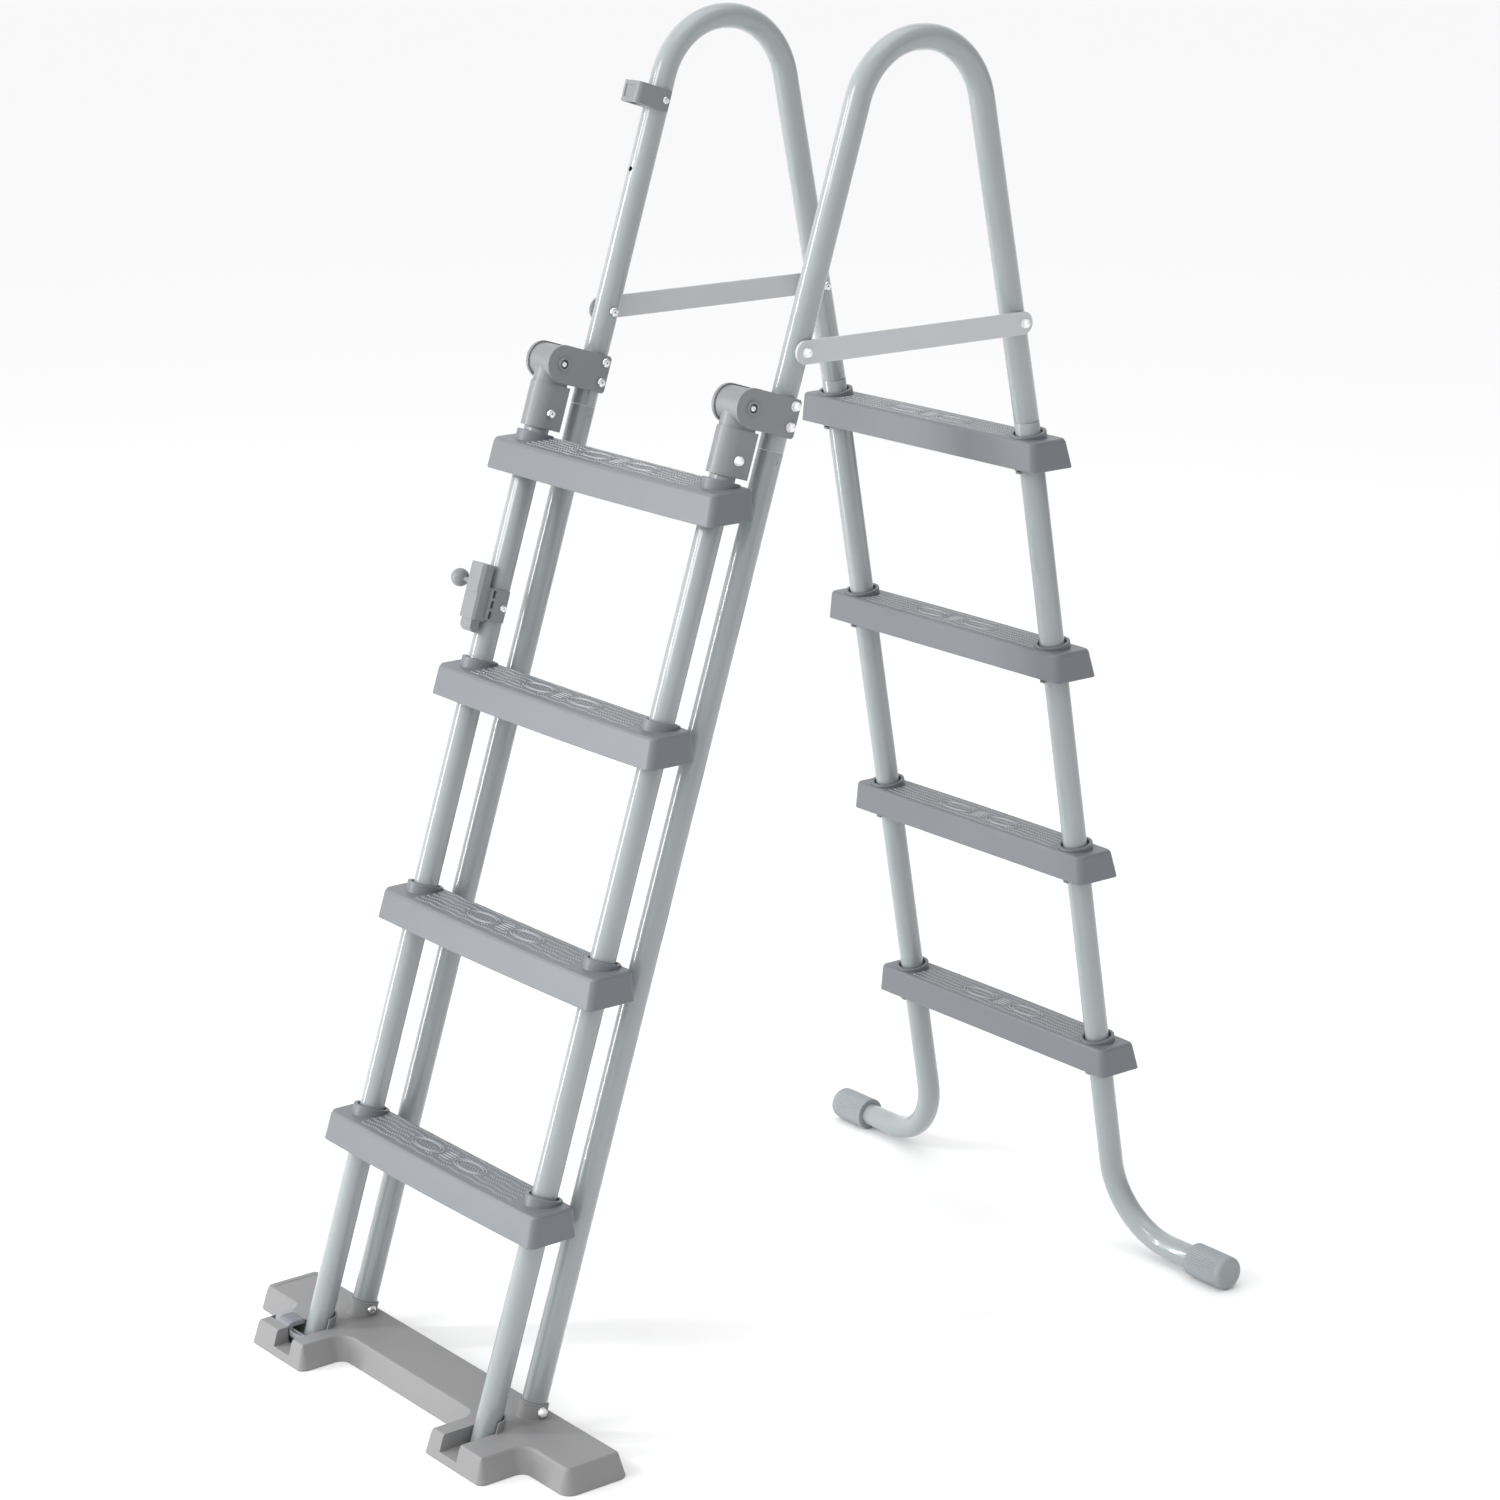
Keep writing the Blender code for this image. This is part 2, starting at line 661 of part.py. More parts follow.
def build_step(prefix, index, frame_of, user, back, flange_rise, mats):
    top_z = STEP_FIRST + STEP_RISE * index
    axis_y = axis_y_at(frame_of, top_z)
    number = index + 1
    shell = step_shell(f"{prefix}_step_{number}", user, axis_y, top_z, back, mats["step"])
    collar_top, flange_top, flange_bottom = step_levels(frame_of, top_z, flange_rise)
    bore = TUBE_RADIUS + 2 * GAP + SLEEVE_WALL
    for side in (-1, 1):
        profile = [(COLLAR_RADIUS, flange_top + GAP), (COLLAR_RADIUS, collar_top)]
        add(shell, turned("collar", frame_of(side), profile))
    for side in (-1, 1):
        profile = [(bore, flange_bottom - STEP_HEIGHT), (bore, collar_top + STEP_HEIGHT)]
        cut(shell, turned("bore", frame_of(side), profile))
        build_sleeve(f"{prefix}_step_sleeve_{number}", side, frame_of(side), user,
                     (collar_top - SLEEVE_TOP_DROP, flange_top, flange_bottom), mats["bracket"])
    return shell


def build_sleeve(name, side, frame, user, stations, mat):
    """The locking sleeve between a leg and a step, with a flange and a small tab underneath."""
    top, flange_top, flange_bottom = stations
    inner = TUBE_RADIUS + GAP
    outer = inner + SLEEVE_WALL
    outer_profile = [(FLANGE_RADIUS, flange_bottom), (FLANGE_RADIUS, flange_top), (outer, flange_top), (outer, top)]
    inner_profile = [(inner, flange_bottom), (inner, flange_top - GAP), (inner, flange_top), (inner, top)]
    obj = turned_pipe(f"{name}_{SIDE_NAMES[side]}", frame, outer_profile, inner_profile, mat)
    near = -user * (FLANGE_RADIUS - TAB_DEPTH / 2)
    far = -user * (FLANGE_RADIUS + TAB_DEPTH / 2)
    low = (-TAB_WIDTH / 2, min(near, far), flange_bottom - FLANGE_THICKNESS / 3)
    high = (TAB_WIDTH / 2, max(near, far), flange_top - FLANGE_THICKNESS / 3)
    add(obj, box("tab", frame, low, high))
    return obj


# ---------------------------------------------------------------- hinge

def hinge_bracket(side, mat):
    """A saddle on the handrail with two cheeks around the elbow's barrel."""
    frame = outer_frame(side)
    turn = axes_frame(frame @ Vector((0, -SWING_OFFSET, PIVOT_ALONG)),
                      frame.to_3x3() @ Vector((0, 1, 0)), frame.to_3x3() @ Vector((0, 0, 1)), X_AXIS)
    nose = []
    for k in range(9):
        angle = math.pi / 2 + math.pi * k / 8
        nose.append((CHEEK_RADIUS * math.cos(angle), CHEEK_RADIUS * math.sin(angle)))
    back = SWING_OFFSET + CHEEK_BACK
    outline = nose + [(back, -CHEEK_RADIUS), (back, CHEEK_RADIUS)]
    obj = prism(f"hinge_bracket_{SIDE_NAMES[side]}", turn, outline, -CHEEK_OUTER, CHEEK_OUTER, mat)
    web_front = BARREL_RADIUS + 2 * GAP
    slot_low = (-2 * CHEEK_RADIUS, -2 * CHEEK_RADIUS, -CHEEK_INNER)
    slot_high = (web_front, 2 * CHEEK_RADIUS, CHEEK_INNER)
    cut(obj, box("slot", turn, slot_low, slot_high))
    bore = TUBE_RADIUS + GAP
    profile = [(bore, PIVOT_ALONG - 2 * CHEEK_RADIUS), (bore, PIVOT_ALONG + 2 * CHEEK_RADIUS)]
    cut(obj, turned("bore", frame, profile))
    for lift in (BRACKET_BOLT_UP, -BRACKET_BOLT_DOWN):
        bore_x(obj, frame @ Vector((0, 0, PIVOT_ALONG + lift)), BOLT_RADIUS + GAP, 2 * CHEEK_OUTER)
    for low, high in ((CHEEK_INNER, CHEEK_OUTER + BOSS_HEIGHT), (-CHEEK_OUTER - BOSS_HEIGHT, -CHEEK_INNER)):
        add(obj, turned("boss", x_frame(turn.translation), [(BOSS_RADIUS, low), (BOSS_RADIUS, high)]))
    for low, high in ((CHEEK_OUTER, 2 * CHEEK_OUTER), (-2 * CHEEK_OUTER, -CHEEK_OUTER)):
        cut(obj, turned("recess", x_frame(turn.translation), [(BOSS_BORE, low), (BOSS_BORE, high)]))
    bore_x(obj, turn.translation, PIVOT_BOLT_RADIUS + GAP, 2 * CHEEK_OUTER)
    return obj


def hinge_elbow(side, mat):
    """The swing leg's upper end: a barrel between the cheeks and a socket over the leg."""
    frame = swing_frame(side)
    pivot = frame @ Vector((0, 0, PIVOT_ALONG))
    half = CHEEK_INNER - GAP
    name = f"hinge_elbow_{SIDE_NAMES[side]}"
    obj = turned(name, x_frame(pivot), [(BARREL_RADIUS, -half), (BARREL_RADIUS, half)], mat, sides=20)
    socket_top = PIVOT_ALONG - SOCKET_TOP_DROP
    neck_bottom = socket_top - SOCKET_WALL
    add(obj, prism("neck", frame, socket_outline(half, NECK_FLAT_BACK), neck_bottom, PIVOT_ALONG))
    outline = socket_outline(SOCKET_RADIUS, SOCKET_FLAT_BACK)
    add(obj, prism("socket", frame, outline, socket_top - SOCKET_LENGTH, socket_top))
    bore = TUBE_RADIUS + GAP
    cut(obj, turned("bore", frame, [(bore, socket_top - 2 * SOCKET_LENGTH), (bore, SWING_LEG_TOP + GAP)]))
    bore_x(obj, pivot, PIVOT_BOLT_RADIUS + GAP, 2 * half)
    bore_x(obj, frame @ Vector((0, 0, PIVOT_ALONG - ELBOW_BOLT_DROP)), BOLT_RADIUS + GAP, 2 * half)
    return obj


def socket_outline(radius, back):
    """A half-round front with flat sides running back."""
    points = [(radius, back), (-radius, back)]
    for k in range(SIDES + 1):
        angle = math.pi + math.pi * k / SIDES
        points.append((radius * math.cos(angle), radius * math.sin(angle)))
    return points


def swing_leg(side, mat):
    """A straight tube from the base notch to the elbow."""
    frame = swing_frame(side)
    inner = TUBE_RADIUS - TUBE_WALL
    bottom = swing_foot_along()
    outer_profile = [(TUBE_RADIUS, bottom), (TUBE_RADIUS, SWING_LEG_TOP)]
    inner_profile = [(inner, bottom), (inner, SWING_LEG_TOP)]
    obj = turned_pipe(f"swing_leg_{SIDE_NAMES[side]}", frame, outer_profile, inner_profile, mat)
    bore_x(obj, frame @ Vector((0, 0, PIVOT_ALONG - ELBOW_BOLT_DROP)), BOLT_RADIUS + GAP, 2 * TUBE_RADIUS)
    return obj


def swing_foot_along():
    """Where the swing leg ends so that its heel clears the notch floor."""
    angle = math.radians(OUTER_LEAN)
    heel = (SWING_OFFSET - TUBE_RADIUS) * math.sin(angle)
    return (BASE_FLOOR + 2 * GAP - heel) / math.cos(angle)


# ---------------------------------------------------------------- fasteners and spreader bars

def bolt(name, centre, side, head_face, nut_face, mat):
    """A pan-head bolt along X: its head faces the other side frame and its domed nut faces outward."""
    frame = axes_frame(centre, Vector((0, side, 0)), Vector((0, 0, 1)), Vector((side, 0, 0)))
    head, nut = -head_face - GAP, nut_face + GAP
    profile = [
        (BOLT_HEAD_RADIUS / 2, head - BOLT_HEAD_HEIGHT),
        (BOLT_HEAD_RADIUS, head - BOLT_HEAD_HEIGHT / 2),
        (BOLT_HEAD_RADIUS, head),
        (BOLT_RADIUS, head),
        (BOLT_RADIUS, nut),
        (NUT_RADIUS, nut),
        (NUT_RADIUS, nut + NUT_HEIGHT),
    ]
    for angle in (math.pi / 6, math.pi / 3):
        profile.append((NUT_RADIUS * math.cos(angle), nut + NUT_HEIGHT + NUT_DOME * math.sin(angle)))
    return turned(name, frame, profile, mat, sides=BOLT_SIDES)


def pivot_bolt(side, mat):
    """The hinge pin, with a low head in the boss on each cheek."""
    centre = outer_frame(side) @ Vector((0, -SWING_OFFSET, PIVOT_ALONG))
    face = CHEEK_OUTER + GAP
    half = [(PIVOT_BOLT_RADIUS, face), (PIVOT_HEAD_RADIUS, face), (PIVOT_HEAD_RADIUS, face + PIVOT_HEAD_HEIGHT)]
    profile = [(radius, -along) for radius, along in reversed(half)] + half
    return turned(f"pivot_bolt_{SIDE_NAMES[side]}", x_frame(centre), profile, mat, sides=BOLT_SIDES)


def spreader_bar(side, mat):
    """A flat bar with round ends on the outer face of one side frame."""
    first = outer_point(side, SPREADER_Z)
    last = handrail_pool_point(side, SPREADER_Z)
    radius = SPREADER_HEIGHT / 2
    outline = []
    for centre, turn in ((last, -0.5), (first, 0.5)):
        for k in range(7):
            angle = math.pi * (turn + k / 6)
            outline.append((centre.y + radius * math.cos(angle), centre.z + radius * math.sin(angle)))
    near = HALF_SPACING + TUBE_RADIUS + GAP
    low, high = sorted((side * near, side * (near + SPREADER_THICKNESS)))
    obj = prism(f"spreader_bar_{SIDE_NAMES[side]}", x_frame(Vector((0, 0, 0))), outline, low, high, mat)
    for centre in (first, last):
        bore_x(obj, centre, BOLT_RADIUS + GAP, 2 * TUBE_RADIUS)
    return obj


def build_fasteners(side, mat):
    label = SIDE_NAMES[side]
    frame = outer_frame(side)
    for word, lift in (("upper", BRACKET_BOLT_UP), ("lower", -BRACKET_BOLT_DOWN)):
        centre = frame @ Vector((0, 0, PIVOT_ALONG + lift))
        bolt(f"bracket_bolt_{word}_{label}", centre, side, CHEEK_OUTER, CHEEK_OUTER, mat)
    pivot_bolt(side, mat)
    elbow = swing_frame(side) @ Vector((0, 0, PIVOT_ALONG - ELBOW_BOLT_DROP))
    bolt(f"elbow_bolt_{label}", elbow, side, SOCKET_RADIUS, SOCKET_RADIUS, mat)
    base = frame @ Vector((0, 0, BASE_BOLT_ALONG))
    collar = TUBE_RADIUS + GAP + BASE_SOCKET_WALL
    bolt(f"base_bolt_{label}", base, side, collar, collar, mat)
    bar_face = TUBE_RADIUS + GAP + SPREADER_THICKNESS
    bolt(f"spreader_bolt_outer_{label}", outer_point(side, SPREADER_Z), side, TUBE_RADIUS, bar_face, mat)
    bolt(f"spreader_bolt_pool_{label}", handrail_pool_point(side, SPREADER_Z), side, TUBE_RADIUS, bar_face, mat)


# ---------------------------------------------------------------- latch and catch

def tongue_span():
    """Front and back of the tongue's channel from the swing leg's axis, with room for the catch wall."""
    back = -(TUBE_RADIUS + CATCH_LEG_GAP + CATCH_WALL + CATCH_PLAY_FRONT)
    front = back - LATCH_DEPTH + 2 * LATCH_WALL
    return front, back


def latch_housing(mat):
    """The latch body in front of the left swing leg, with its saddle around the leg."""
    frame = swing_frame(-1)
    tongue_front, tongue_back = tongue_span()
    front, back = tongue_front - LATCH_WALL, tongue_back + LATCH_WALL
    half = LATCH_HALF_WIDTH
    outline = [(-half, back), (-half, front + LATCH_CHAMFER), (-half + LATCH_CHAMFER, front),
               (half - LATCH_CHAMFER, front), (half, front + LATCH_CHAMFER), (half, back)]
    obj = prism("latch_housing", frame, outline, LATCH_BOTTOM, LATCH_TOP, mat)
    low = (-SADDLE_HALF_WIDTH, back - LATCH_WALL / 2, SADDLE_BOTTOM)
    add(obj, box("saddle", frame, low, (SADDLE_HALF_WIDTH, SADDLE_BACK, SADDLE_TOP)))
    bore = TUBE_RADIUS + GAP
    cut(obj, turned("bore", frame, [(bore, SADDLE_BOTTOM - bore), (bore, SADDLE_TOP + bore)]))
    channel_low = (-half + LATCH_WALL + LATCH_WALL / 2, tongue_front, LATCH_BOTTOM - LATCH_WALL)
    channel_high = (half - LATCH_WALL - LATCH_WALL / 2, tongue_back, LATCH_TOP - LATCH_WALL)
    cut(obj, box("channel", frame, channel_low, channel_high))
    middle = (tongue_front + tongue_back) / 2
    reach = KNOB_STEM_RADIUS + 2 * GAP
    slot_low = (-2 * half, middle - reach, KNOB_ALONG - reach)
    slot_high = (-half / 2, middle + reach, KNOB_ALONG + LATCH_STROKE + reach)
    cut(obj, box("slot", frame, slot_low, slot_high))
    pitch = (SADDLE_TOP - SADDLE_BOTTOM) / 3
    for k in range(3):
        low = (LATCH_HALF_WIDTH - LATCH_WALL / 2, back + GAP, SADDLE_BOTTOM + pitch * (k + 0.15))
        high = (SADDLE_HALF_WIDTH + LATCH_WALL, back + LATCH_WALL, SADDLE_BOTTOM + pitch * (k + 0.85))
        cut(obj, box("relief", frame, low, high))
    return obj


def latch_slider(mat):
    """The sprung tongue with its ball knob on the outboard side."""
    frame = swing_frame(-1)
    tongue_front, tongue_back = tongue_span()
    front, back = tongue_front + GAP, tongue_back - GAP
    half = LATCH_HALF_WIDTH - LATCH_WALL * 1.5 - GAP
    tip = LATCH_BOTTOM - TONGUE_REACH
    side_view = axes_frame(frame.translation, frame.to_3x3() @ Vector((0, 1, 0)),
                           frame.to_3x3() @ Vector((0, 0, 1)), X_AXIS)
    outline = [(back, tip), (back, SLIDER_TOP), (front, SLIDER_TOP), (front, tip + TONGUE_REACH / 2),
               (front + TONGUE_REACH / 8, tip + TONGUE_REACH / 4), (front + TONGUE_REACH / 3, tip)]
    obj = prism("latch_slider", side_view, outline, -half, half, mat)
    middle = (front + back) / 2
    well = axes_frame(frame @ Vector((0, middle, 0)), X_AXIS, frame.to_3x3() @ Vector((0, 1, 0)),
                      frame.to_3x3() @ Vector((0, 0, 1)))
    well_radius = SPRING_RADIUS + 2 * SPRING_WIRE
    cut(obj, turned("well", well, [(well_radius, SPRING_SEAT), (well_radius, SLIDER_TOP * 2)], sides=BOLT_SIDES))
    knob_centre = frame @ Vector((0, middle, KNOB_ALONG))
    knob = axes_frame(knob_centre, Vector((0, -1, 0)), Vector((0, 0, 1)), Vector((-1, 0, 0)))
    profile = [(KNOB_STEM_RADIUS, half - LATCH_WALL / 2), (KNOB_STEM_RADIUS, KNOB_OUT - KNOB_RADIUS * 0.9)]
    for k in range(1, 7):
        angle = math.radians(-62 + 24 * k)
        profile.append((KNOB_RADIUS * math.cos(angle), KNOB_OUT + KNOB_RADIUS * math.sin(angle)))
    add(obj, turned("knob", knob, profile))
    return obj


def latch_spring(mat):
    """The compression spring between the slider's well and the housing's top wall."""
    frame = swing_frame(-1)
    tongue_front, tongue_back = tongue_span()
    middle = (tongue_front + tongue_back) / 2
    low, high = SPRING_SEAT + GAP + SPRING_WIRE, LATCH_TOP - LATCH_WALL - GAP - SPRING_WIRE
    steps = SPRING_TURNS * 8
    rings = []
    for k in range(steps + 1):
        angle = 2 * math.pi * SPRING_TURNS * k / steps
        radial = Vector((math.cos(angle), math.sin(angle), 0))
        centre = Vector((0, middle, low + (high - low) * k / steps)) + radial * SPRING_RADIUS
        rings.append([
            frame @ (centre + radial * (SPRING_WIRE * math.cos(a)) + Vector((0, 0, SPRING_WIRE * math.sin(a))))
            for a in (0.0, math.pi / 2, math.pi, 3 * math.pi / 2)
        ])
    return loft("latch_spring", rings, mat)


def catch_loop(mat):
    """The loop on the left handrail that the latch tongue enters when the ladder is folded up."""
    frame = outer_frame(-1)
    tongue_front, tongue_back = tongue_span()
    # Folded up, the swing ladder is turned half a turn about its pivot.
    pocket_back = -SWING_OFFSET - tongue_front + CATCH_PLAY_BACK
    pocket_front = -SWING_OFFSET - tongue_back - CATCH_PLAY_FRONT
    front = -SWING_OFFSET + TUBE_RADIUS + CATCH_LEG_GAP
    half = CATCH_HALF_WIDTH
    corners = [(-half, front, CATCH_CORNER), (half, front, CATCH_CORNER), (half, SADDLE_BACK, 0), (-half, SADDLE_BACK, 0)]
    bottom, top = CATCH_BOTTOM, CATCH_TOP
    obj = prism("catch_loop", frame, rounded(corners), bottom, top, mat)
    pocket_half = LATCH_HALF_WIDTH - LATCH_WALL * 1.5 + CATCH_PLAY_SIDE
    low = (-pocket_half, pocket_front, bottom - CATCH_WALL)
    high = (pocket_half, pocket_back, top + CATCH_WALL)
    cut(obj, box("pocket", frame, low, high))
    bore = TUBE_RADIUS + GAP
    cut(obj, turned("bore", frame, [(bore, bottom - bore), (bore, top + bore)]))
    return obj


# ---------------------------------------------------------------- base plate

def half_depth():
    """Half the ladder's overall depth, set by the pool feet."""
    foot_y = POOL_LEG_Y - FOOT_CAP_RADIUS * math.tan(math.radians(POOL_LEAN))
    return foot_y + FOOT_CAP_RADIUS


def socket_floor_along():
    """Where the outer leg's bore ends so that its low edge keeps a floor under it."""
    angle = math.radians(OUTER_LEAN)
    return (BASE_FLOOR + (TUBE_RADIUS + GAP) * math.sin(angle)) / math.cos(angle)


def base_outline(inset):
    front = -half_depth()
    bar_front = OUTER_LEG_Y - BASE_BAR_FRONT
    bar_back = OUTER_LEG_Y + BASE_BAR_BACK
    inner, outer = HALF_SPACING - BASE_LOBE_INNER, HALF_SPACING + BASE_LOBE_OUTER
    end = BASE_HALF_LENGTH
    right = [
        (inner, bar_front, BASE_INNER_CORNER), (inner, front, BASE_LOBE_CORNER),
        (outer, front, BASE_LOBE_CORNER), (outer, bar_front, BASE_INNER_CORNER),
        (end, bar_front, BASE_END_CORNER), (end, bar_back, BASE_END_CORNER),
    ]
    left = [(-x, y, r) for x, y, r in reversed(right)]
    return rounded(left + right, inset)


def base_body(name, mat):
    def ring(inset, z):
        return [Vector((x, y, z)) for x, y in base_outline(inset)]

    share = BASE_EDGE / BASE_HEIGHT
    return loft(name, [
        ring(0.0, 0.0),
        ring(BASE_DRAFT * (1 - share), BASE_HEIGHT - BASE_EDGE),
        ring(BASE_DRAFT + BASE_EDGE * 0.1, BASE_HEIGHT - BASE_EDGE * 0.3),
        ring(BASE_DRAFT + BASE_EDGE * 0.8, BASE_HEIGHT),
    ], mat)


def u_outline(radius, reach, segments=10):
    """A slot open to the front with a half-round back, in X and Y about the leg's axis."""
    points = [(-radius, -reach), (radius, -reach)]
    for k in range(segments + 1):
        angle = math.pi * k / segments
        points.append((radius * math.cos(angle), radius * math.sin(angle)))
    return points


def well_outline(segments=8):
    """The deeper seat under the swing foot, drawn out to the front so that the foot can leave."""
    radius = TUBE_RADIUS + WELL_CLEARANCE
    points = []
    for shift, start in ((0.0, 0.0), (-WELL_LEAD, math.pi)):
        for k in range(segments + 1):
            angle = start + math.pi * k / segments
            points.append((radius * math.cos(angle), shift + radius * math.sin(angle)))
    return points


def half_disc_outline(radius, segments=8):
    return [
        (radius * math.cos(math.pi * k / segments), radius * math.sin(math.pi * k / segments))
        for k in range(segments + 1)
    ]


def leaning_prism(name, side, outline, low, high):
    """An outline about the swing leg's axis, extruded with the leg's lean between two heights."""
    rings = []
    for z in (low, high):
        y_axis = axis_y_at(swing_frame, z)
        rings.append([Vector((side * HALF_SPACING + x, y_axis + y, z)) for x, y in outline])
    return loft(name, rings)


def base_plate(mat):
    obj = base_body("base_plate", mat)
    socket_radius = TUBE_RADIUS + GAP + BASE_SOCKET_WALL
    for side in (-1, 1):
        profile = [(socket_radius, BASE_HEIGHT / 2), (socket_radius, BASE_SOCKET_TOP)]
        add(obj, turned("socket", outer_frame(side), profile))
        cradle = half_disc_outline(TUBE_RADIUS + NOTCH_CLEARANCE + CRADLE_WALL)
        add(obj, leaning_prism("cradle", side, cradle, BASE_HEIGHT / 2, BASE_HEIGHT + CRADLE_HEIGHT))
    for side in (-1, 1):
        bore = TUBE_RADIUS + GAP
        floor = socket_floor_along()
        cut(obj, turned("bore", outer_frame(side), [(bore, floor), (bore, 2 * BASE_SOCKET_TOP)]))
        notch = u_outline(TUBE_RADIUS + NOTCH_CLEARANCE, half_depth())
        cut(obj, leaning_prism("notch", side, notch, NOTCH_FLOOR, BASE_HEIGHT + 2 * CRADLE_HEIGHT))
        cut(obj, leaning_prism("well", side, well_outline(), BASE_FLOOR, BASE_HEIGHT))
        bore_x(obj, outer_frame(side) @ Vector((0, 0, BASE_BOLT_ALONG)), BOLT_RADIUS + GAP, 2 * TUBE_RADIUS)
    for low, high in base_pockets():
        cut(obj, box("pocket", Matrix.Identity(4), low, high))
    cut_lever_seat(obj)
    return obj


def base_pockets():
    """Hollows under the bar: two between the sockets and one towards each end."""
    front = OUTER_LEG_Y - BASE_BAR_FRONT + BASE_DRAFT + BASE_WALL
    back = OUTER_LEG_Y + BASE_BAR_BACK - BASE_DRAFT - BASE_WALL
    top = BASE_HEIGHT - BASE_WALL
    socket = TUBE_RADIUS + GAP + BASE_SOCKET_WALL + BASE_WALL
    middle = (BASE_WALL / 2, HALF_SPACING - socket - BASE_WALL)
    end = (HALF_SPACING + socket + BASE_WALL, BASE_HALF_LENGTH - BASE_DRAFT - BASE_WALL)
    spans = [middle, end]
    spans += [(-b, -a) for a, b in spans]
    return [((a, front, -BASE_WALL), (b, back, top)) for a, b in spans]


def lever_span():
    """Front and back of the lever plate, set just ahead of the swing leg."""
    slant = TUBE_RADIUS / math.cos(math.radians(OUTER_LEAN))
    tongue_back = axis_y_at(swing_frame, LEVER_TONGUE_BOTTOM) - slant - LEVER_LEG_GAP
    front = tongue_back - LEVER_TONGUE_DEPTH
    return front, front + LEVER_WIDTH, tongue_back


def lever_pivot_x():
    return -(HALF_SPACING + BASE_LOBE_OUTER - LEVER_PIVOT_IN)


def lever_wall_x():
    """The outboard side of the left notch."""
    return -(HALF_SPACING + TUBE_RADIUS + NOTCH_CLEARANCE)


def cut_lever_seat(obj):
    """A seat for the pedal, and a slot through to the ground that lets its tongue drop."""
    front, back, tongue_back = lever_span()
    pivot_x = lever_pivot_x()
    gap = LEVER_CLEARANCE
    wall_x = lever_wall_x()
    outboard = pivot_x - LEVER_PIN_RADIUS - 2 * gap
    seat_low = (outboard, front - gap, LEVER_RECESS_FLOOR)
    seat_high = (wall_x + BASE_EDGE, back + gap, 2 * BASE_HEIGHT)
    cut(obj, box("seat", Matrix.Identity(4), seat_low, seat_high))
    slot_low = (wall_x - 2 * LEVER_ARM, front - gap, -BASE_FLOOR)
    slot_high = (-HALF_SPACING + LEVER_TONGUE_TIP + 2 * gap, tongue_back + gap, 2 * BASE_HEIGHT)
    cut(obj, box("slot", Matrix.Identity(4), slot_low, slot_high))
    pin = y_frame(Vector((pivot_x, (front + back) / 2, LEVER_PIVOT_Z)))
    reach = LEVER_WIDTH / 2 + LEVER_PIN_REACH + gap
    radius = LEVER_PIN_RADIUS + GAP
    cut(obj, turned("pin", pin, [(radius, -reach), (radius, reach)], sides=BOLT_SIDES))


def y_frame(centre):
    """Local Z points along +Y."""
    return axes_frame(centre, Vector((0.0, 0.0, 1.0)), X_AXIS, Vector((0.0, 1.0, 0.0)))


def lever_profile(pivot_x, end_x):
    """The pedal's side view in X and Z, with ridges on top."""
    outline = [(pivot_x - LEVER_PIN_RADIUS, LEVER_PIVOT_Z), (pivot_x, LEVER_PIVOT_Z - LEVER_PIN_RADIUS)]
    outline += [(pivot_x + 2 * LEVER_PIN_RADIUS, LEVER_PLATE_BOTTOM), (end_x, LEVER_PLATE_BOTTOM)]
    outline += [(end_x, LEVER_PLATE_TOP)]
    top = LEVER_PLATE_TOP + LEVER_RIDGE_HEIGHT
    width = LEVER_RIDGE_PITCH / 4
    for k in range(LEVER_RIDGES):
        x = end_x - LEVER_RIDGE_PITCH * (k + 0.75)
        outline += [(x + width, LEVER_PLATE_TOP), (x + width / 2, top), (x - width / 2, top), (x - width, LEVER_PLATE_TOP)]
    outline += [(pivot_x, LEVER_PLATE_TOP), (pivot_x - LEVER_PIN_RADIUS, LEVER_PLATE_BOTTOM)]
    return outline


def base_latch_lever(mat):
    """The sprung pedal whose tongue stands in front of the left swing foot."""
    front, back, tongue_back = lever_span()
    pivot_x = lever_pivot_x()
    end_x = lever_wall_x() - LEVER_ARM / 2
    side_view = axes_frame(Vector((0, 0, 0)), X_AXIS, Vector((0, 0, 1)), Vector((0, -1, 0)))
    obj = prism("base_latch_lever", side_view, lever_profile(pivot_x, end_x), -back, -front, mat)
    pin = y_frame(Vector((pivot_x, (front + back) / 2, LEVER_PIVOT_Z)))
    reach = LEVER_WIDTH / 2 + LEVER_PIN_REACH
    add(obj, turned("pin", pin, [(LEVER_PIN_RADIUS, -reach), (LEVER_PIN_RADIUS, reach)], sides=BOLT_SIDES))
    low = (end_x - LEVER_ARM, front, LEVER_TONGUE_BOTTOM)
    high = (end_x, tongue_back, LEVER_PLATE_TOP - LEVER_CLEARANCE)
    add(obj, box("arm", Matrix.Identity(4), low, high))
    low = (end_x - LEVER_ARM / 2, front, LEVER_TONGUE_BOTTOM)
    high = (-HALF_SPACING + LEVER_TONGUE_TIP, tongue_back, LEVER_TONGUE_TOP)
    add(obj, box("tongue", Matrix.Identity(4), low, high))
    return obj


# ---------------------------------------------------------------- assembly

def set_origin(obj, point):
    """Moves the object's origin to a point on its joint axis without moving the solid."""
    obj.data.transform(Matrix.Translation(-point))
    obj.location = point


def smooth_round_faces(obj):
    """Shades curved runs of faces smooth and keeps edges sharper than 40 degrees."""
    mesh = obj.data
    mesh.shade_smooth()
    mesh.set_sharp_from_angle(angle=math.radians(40))


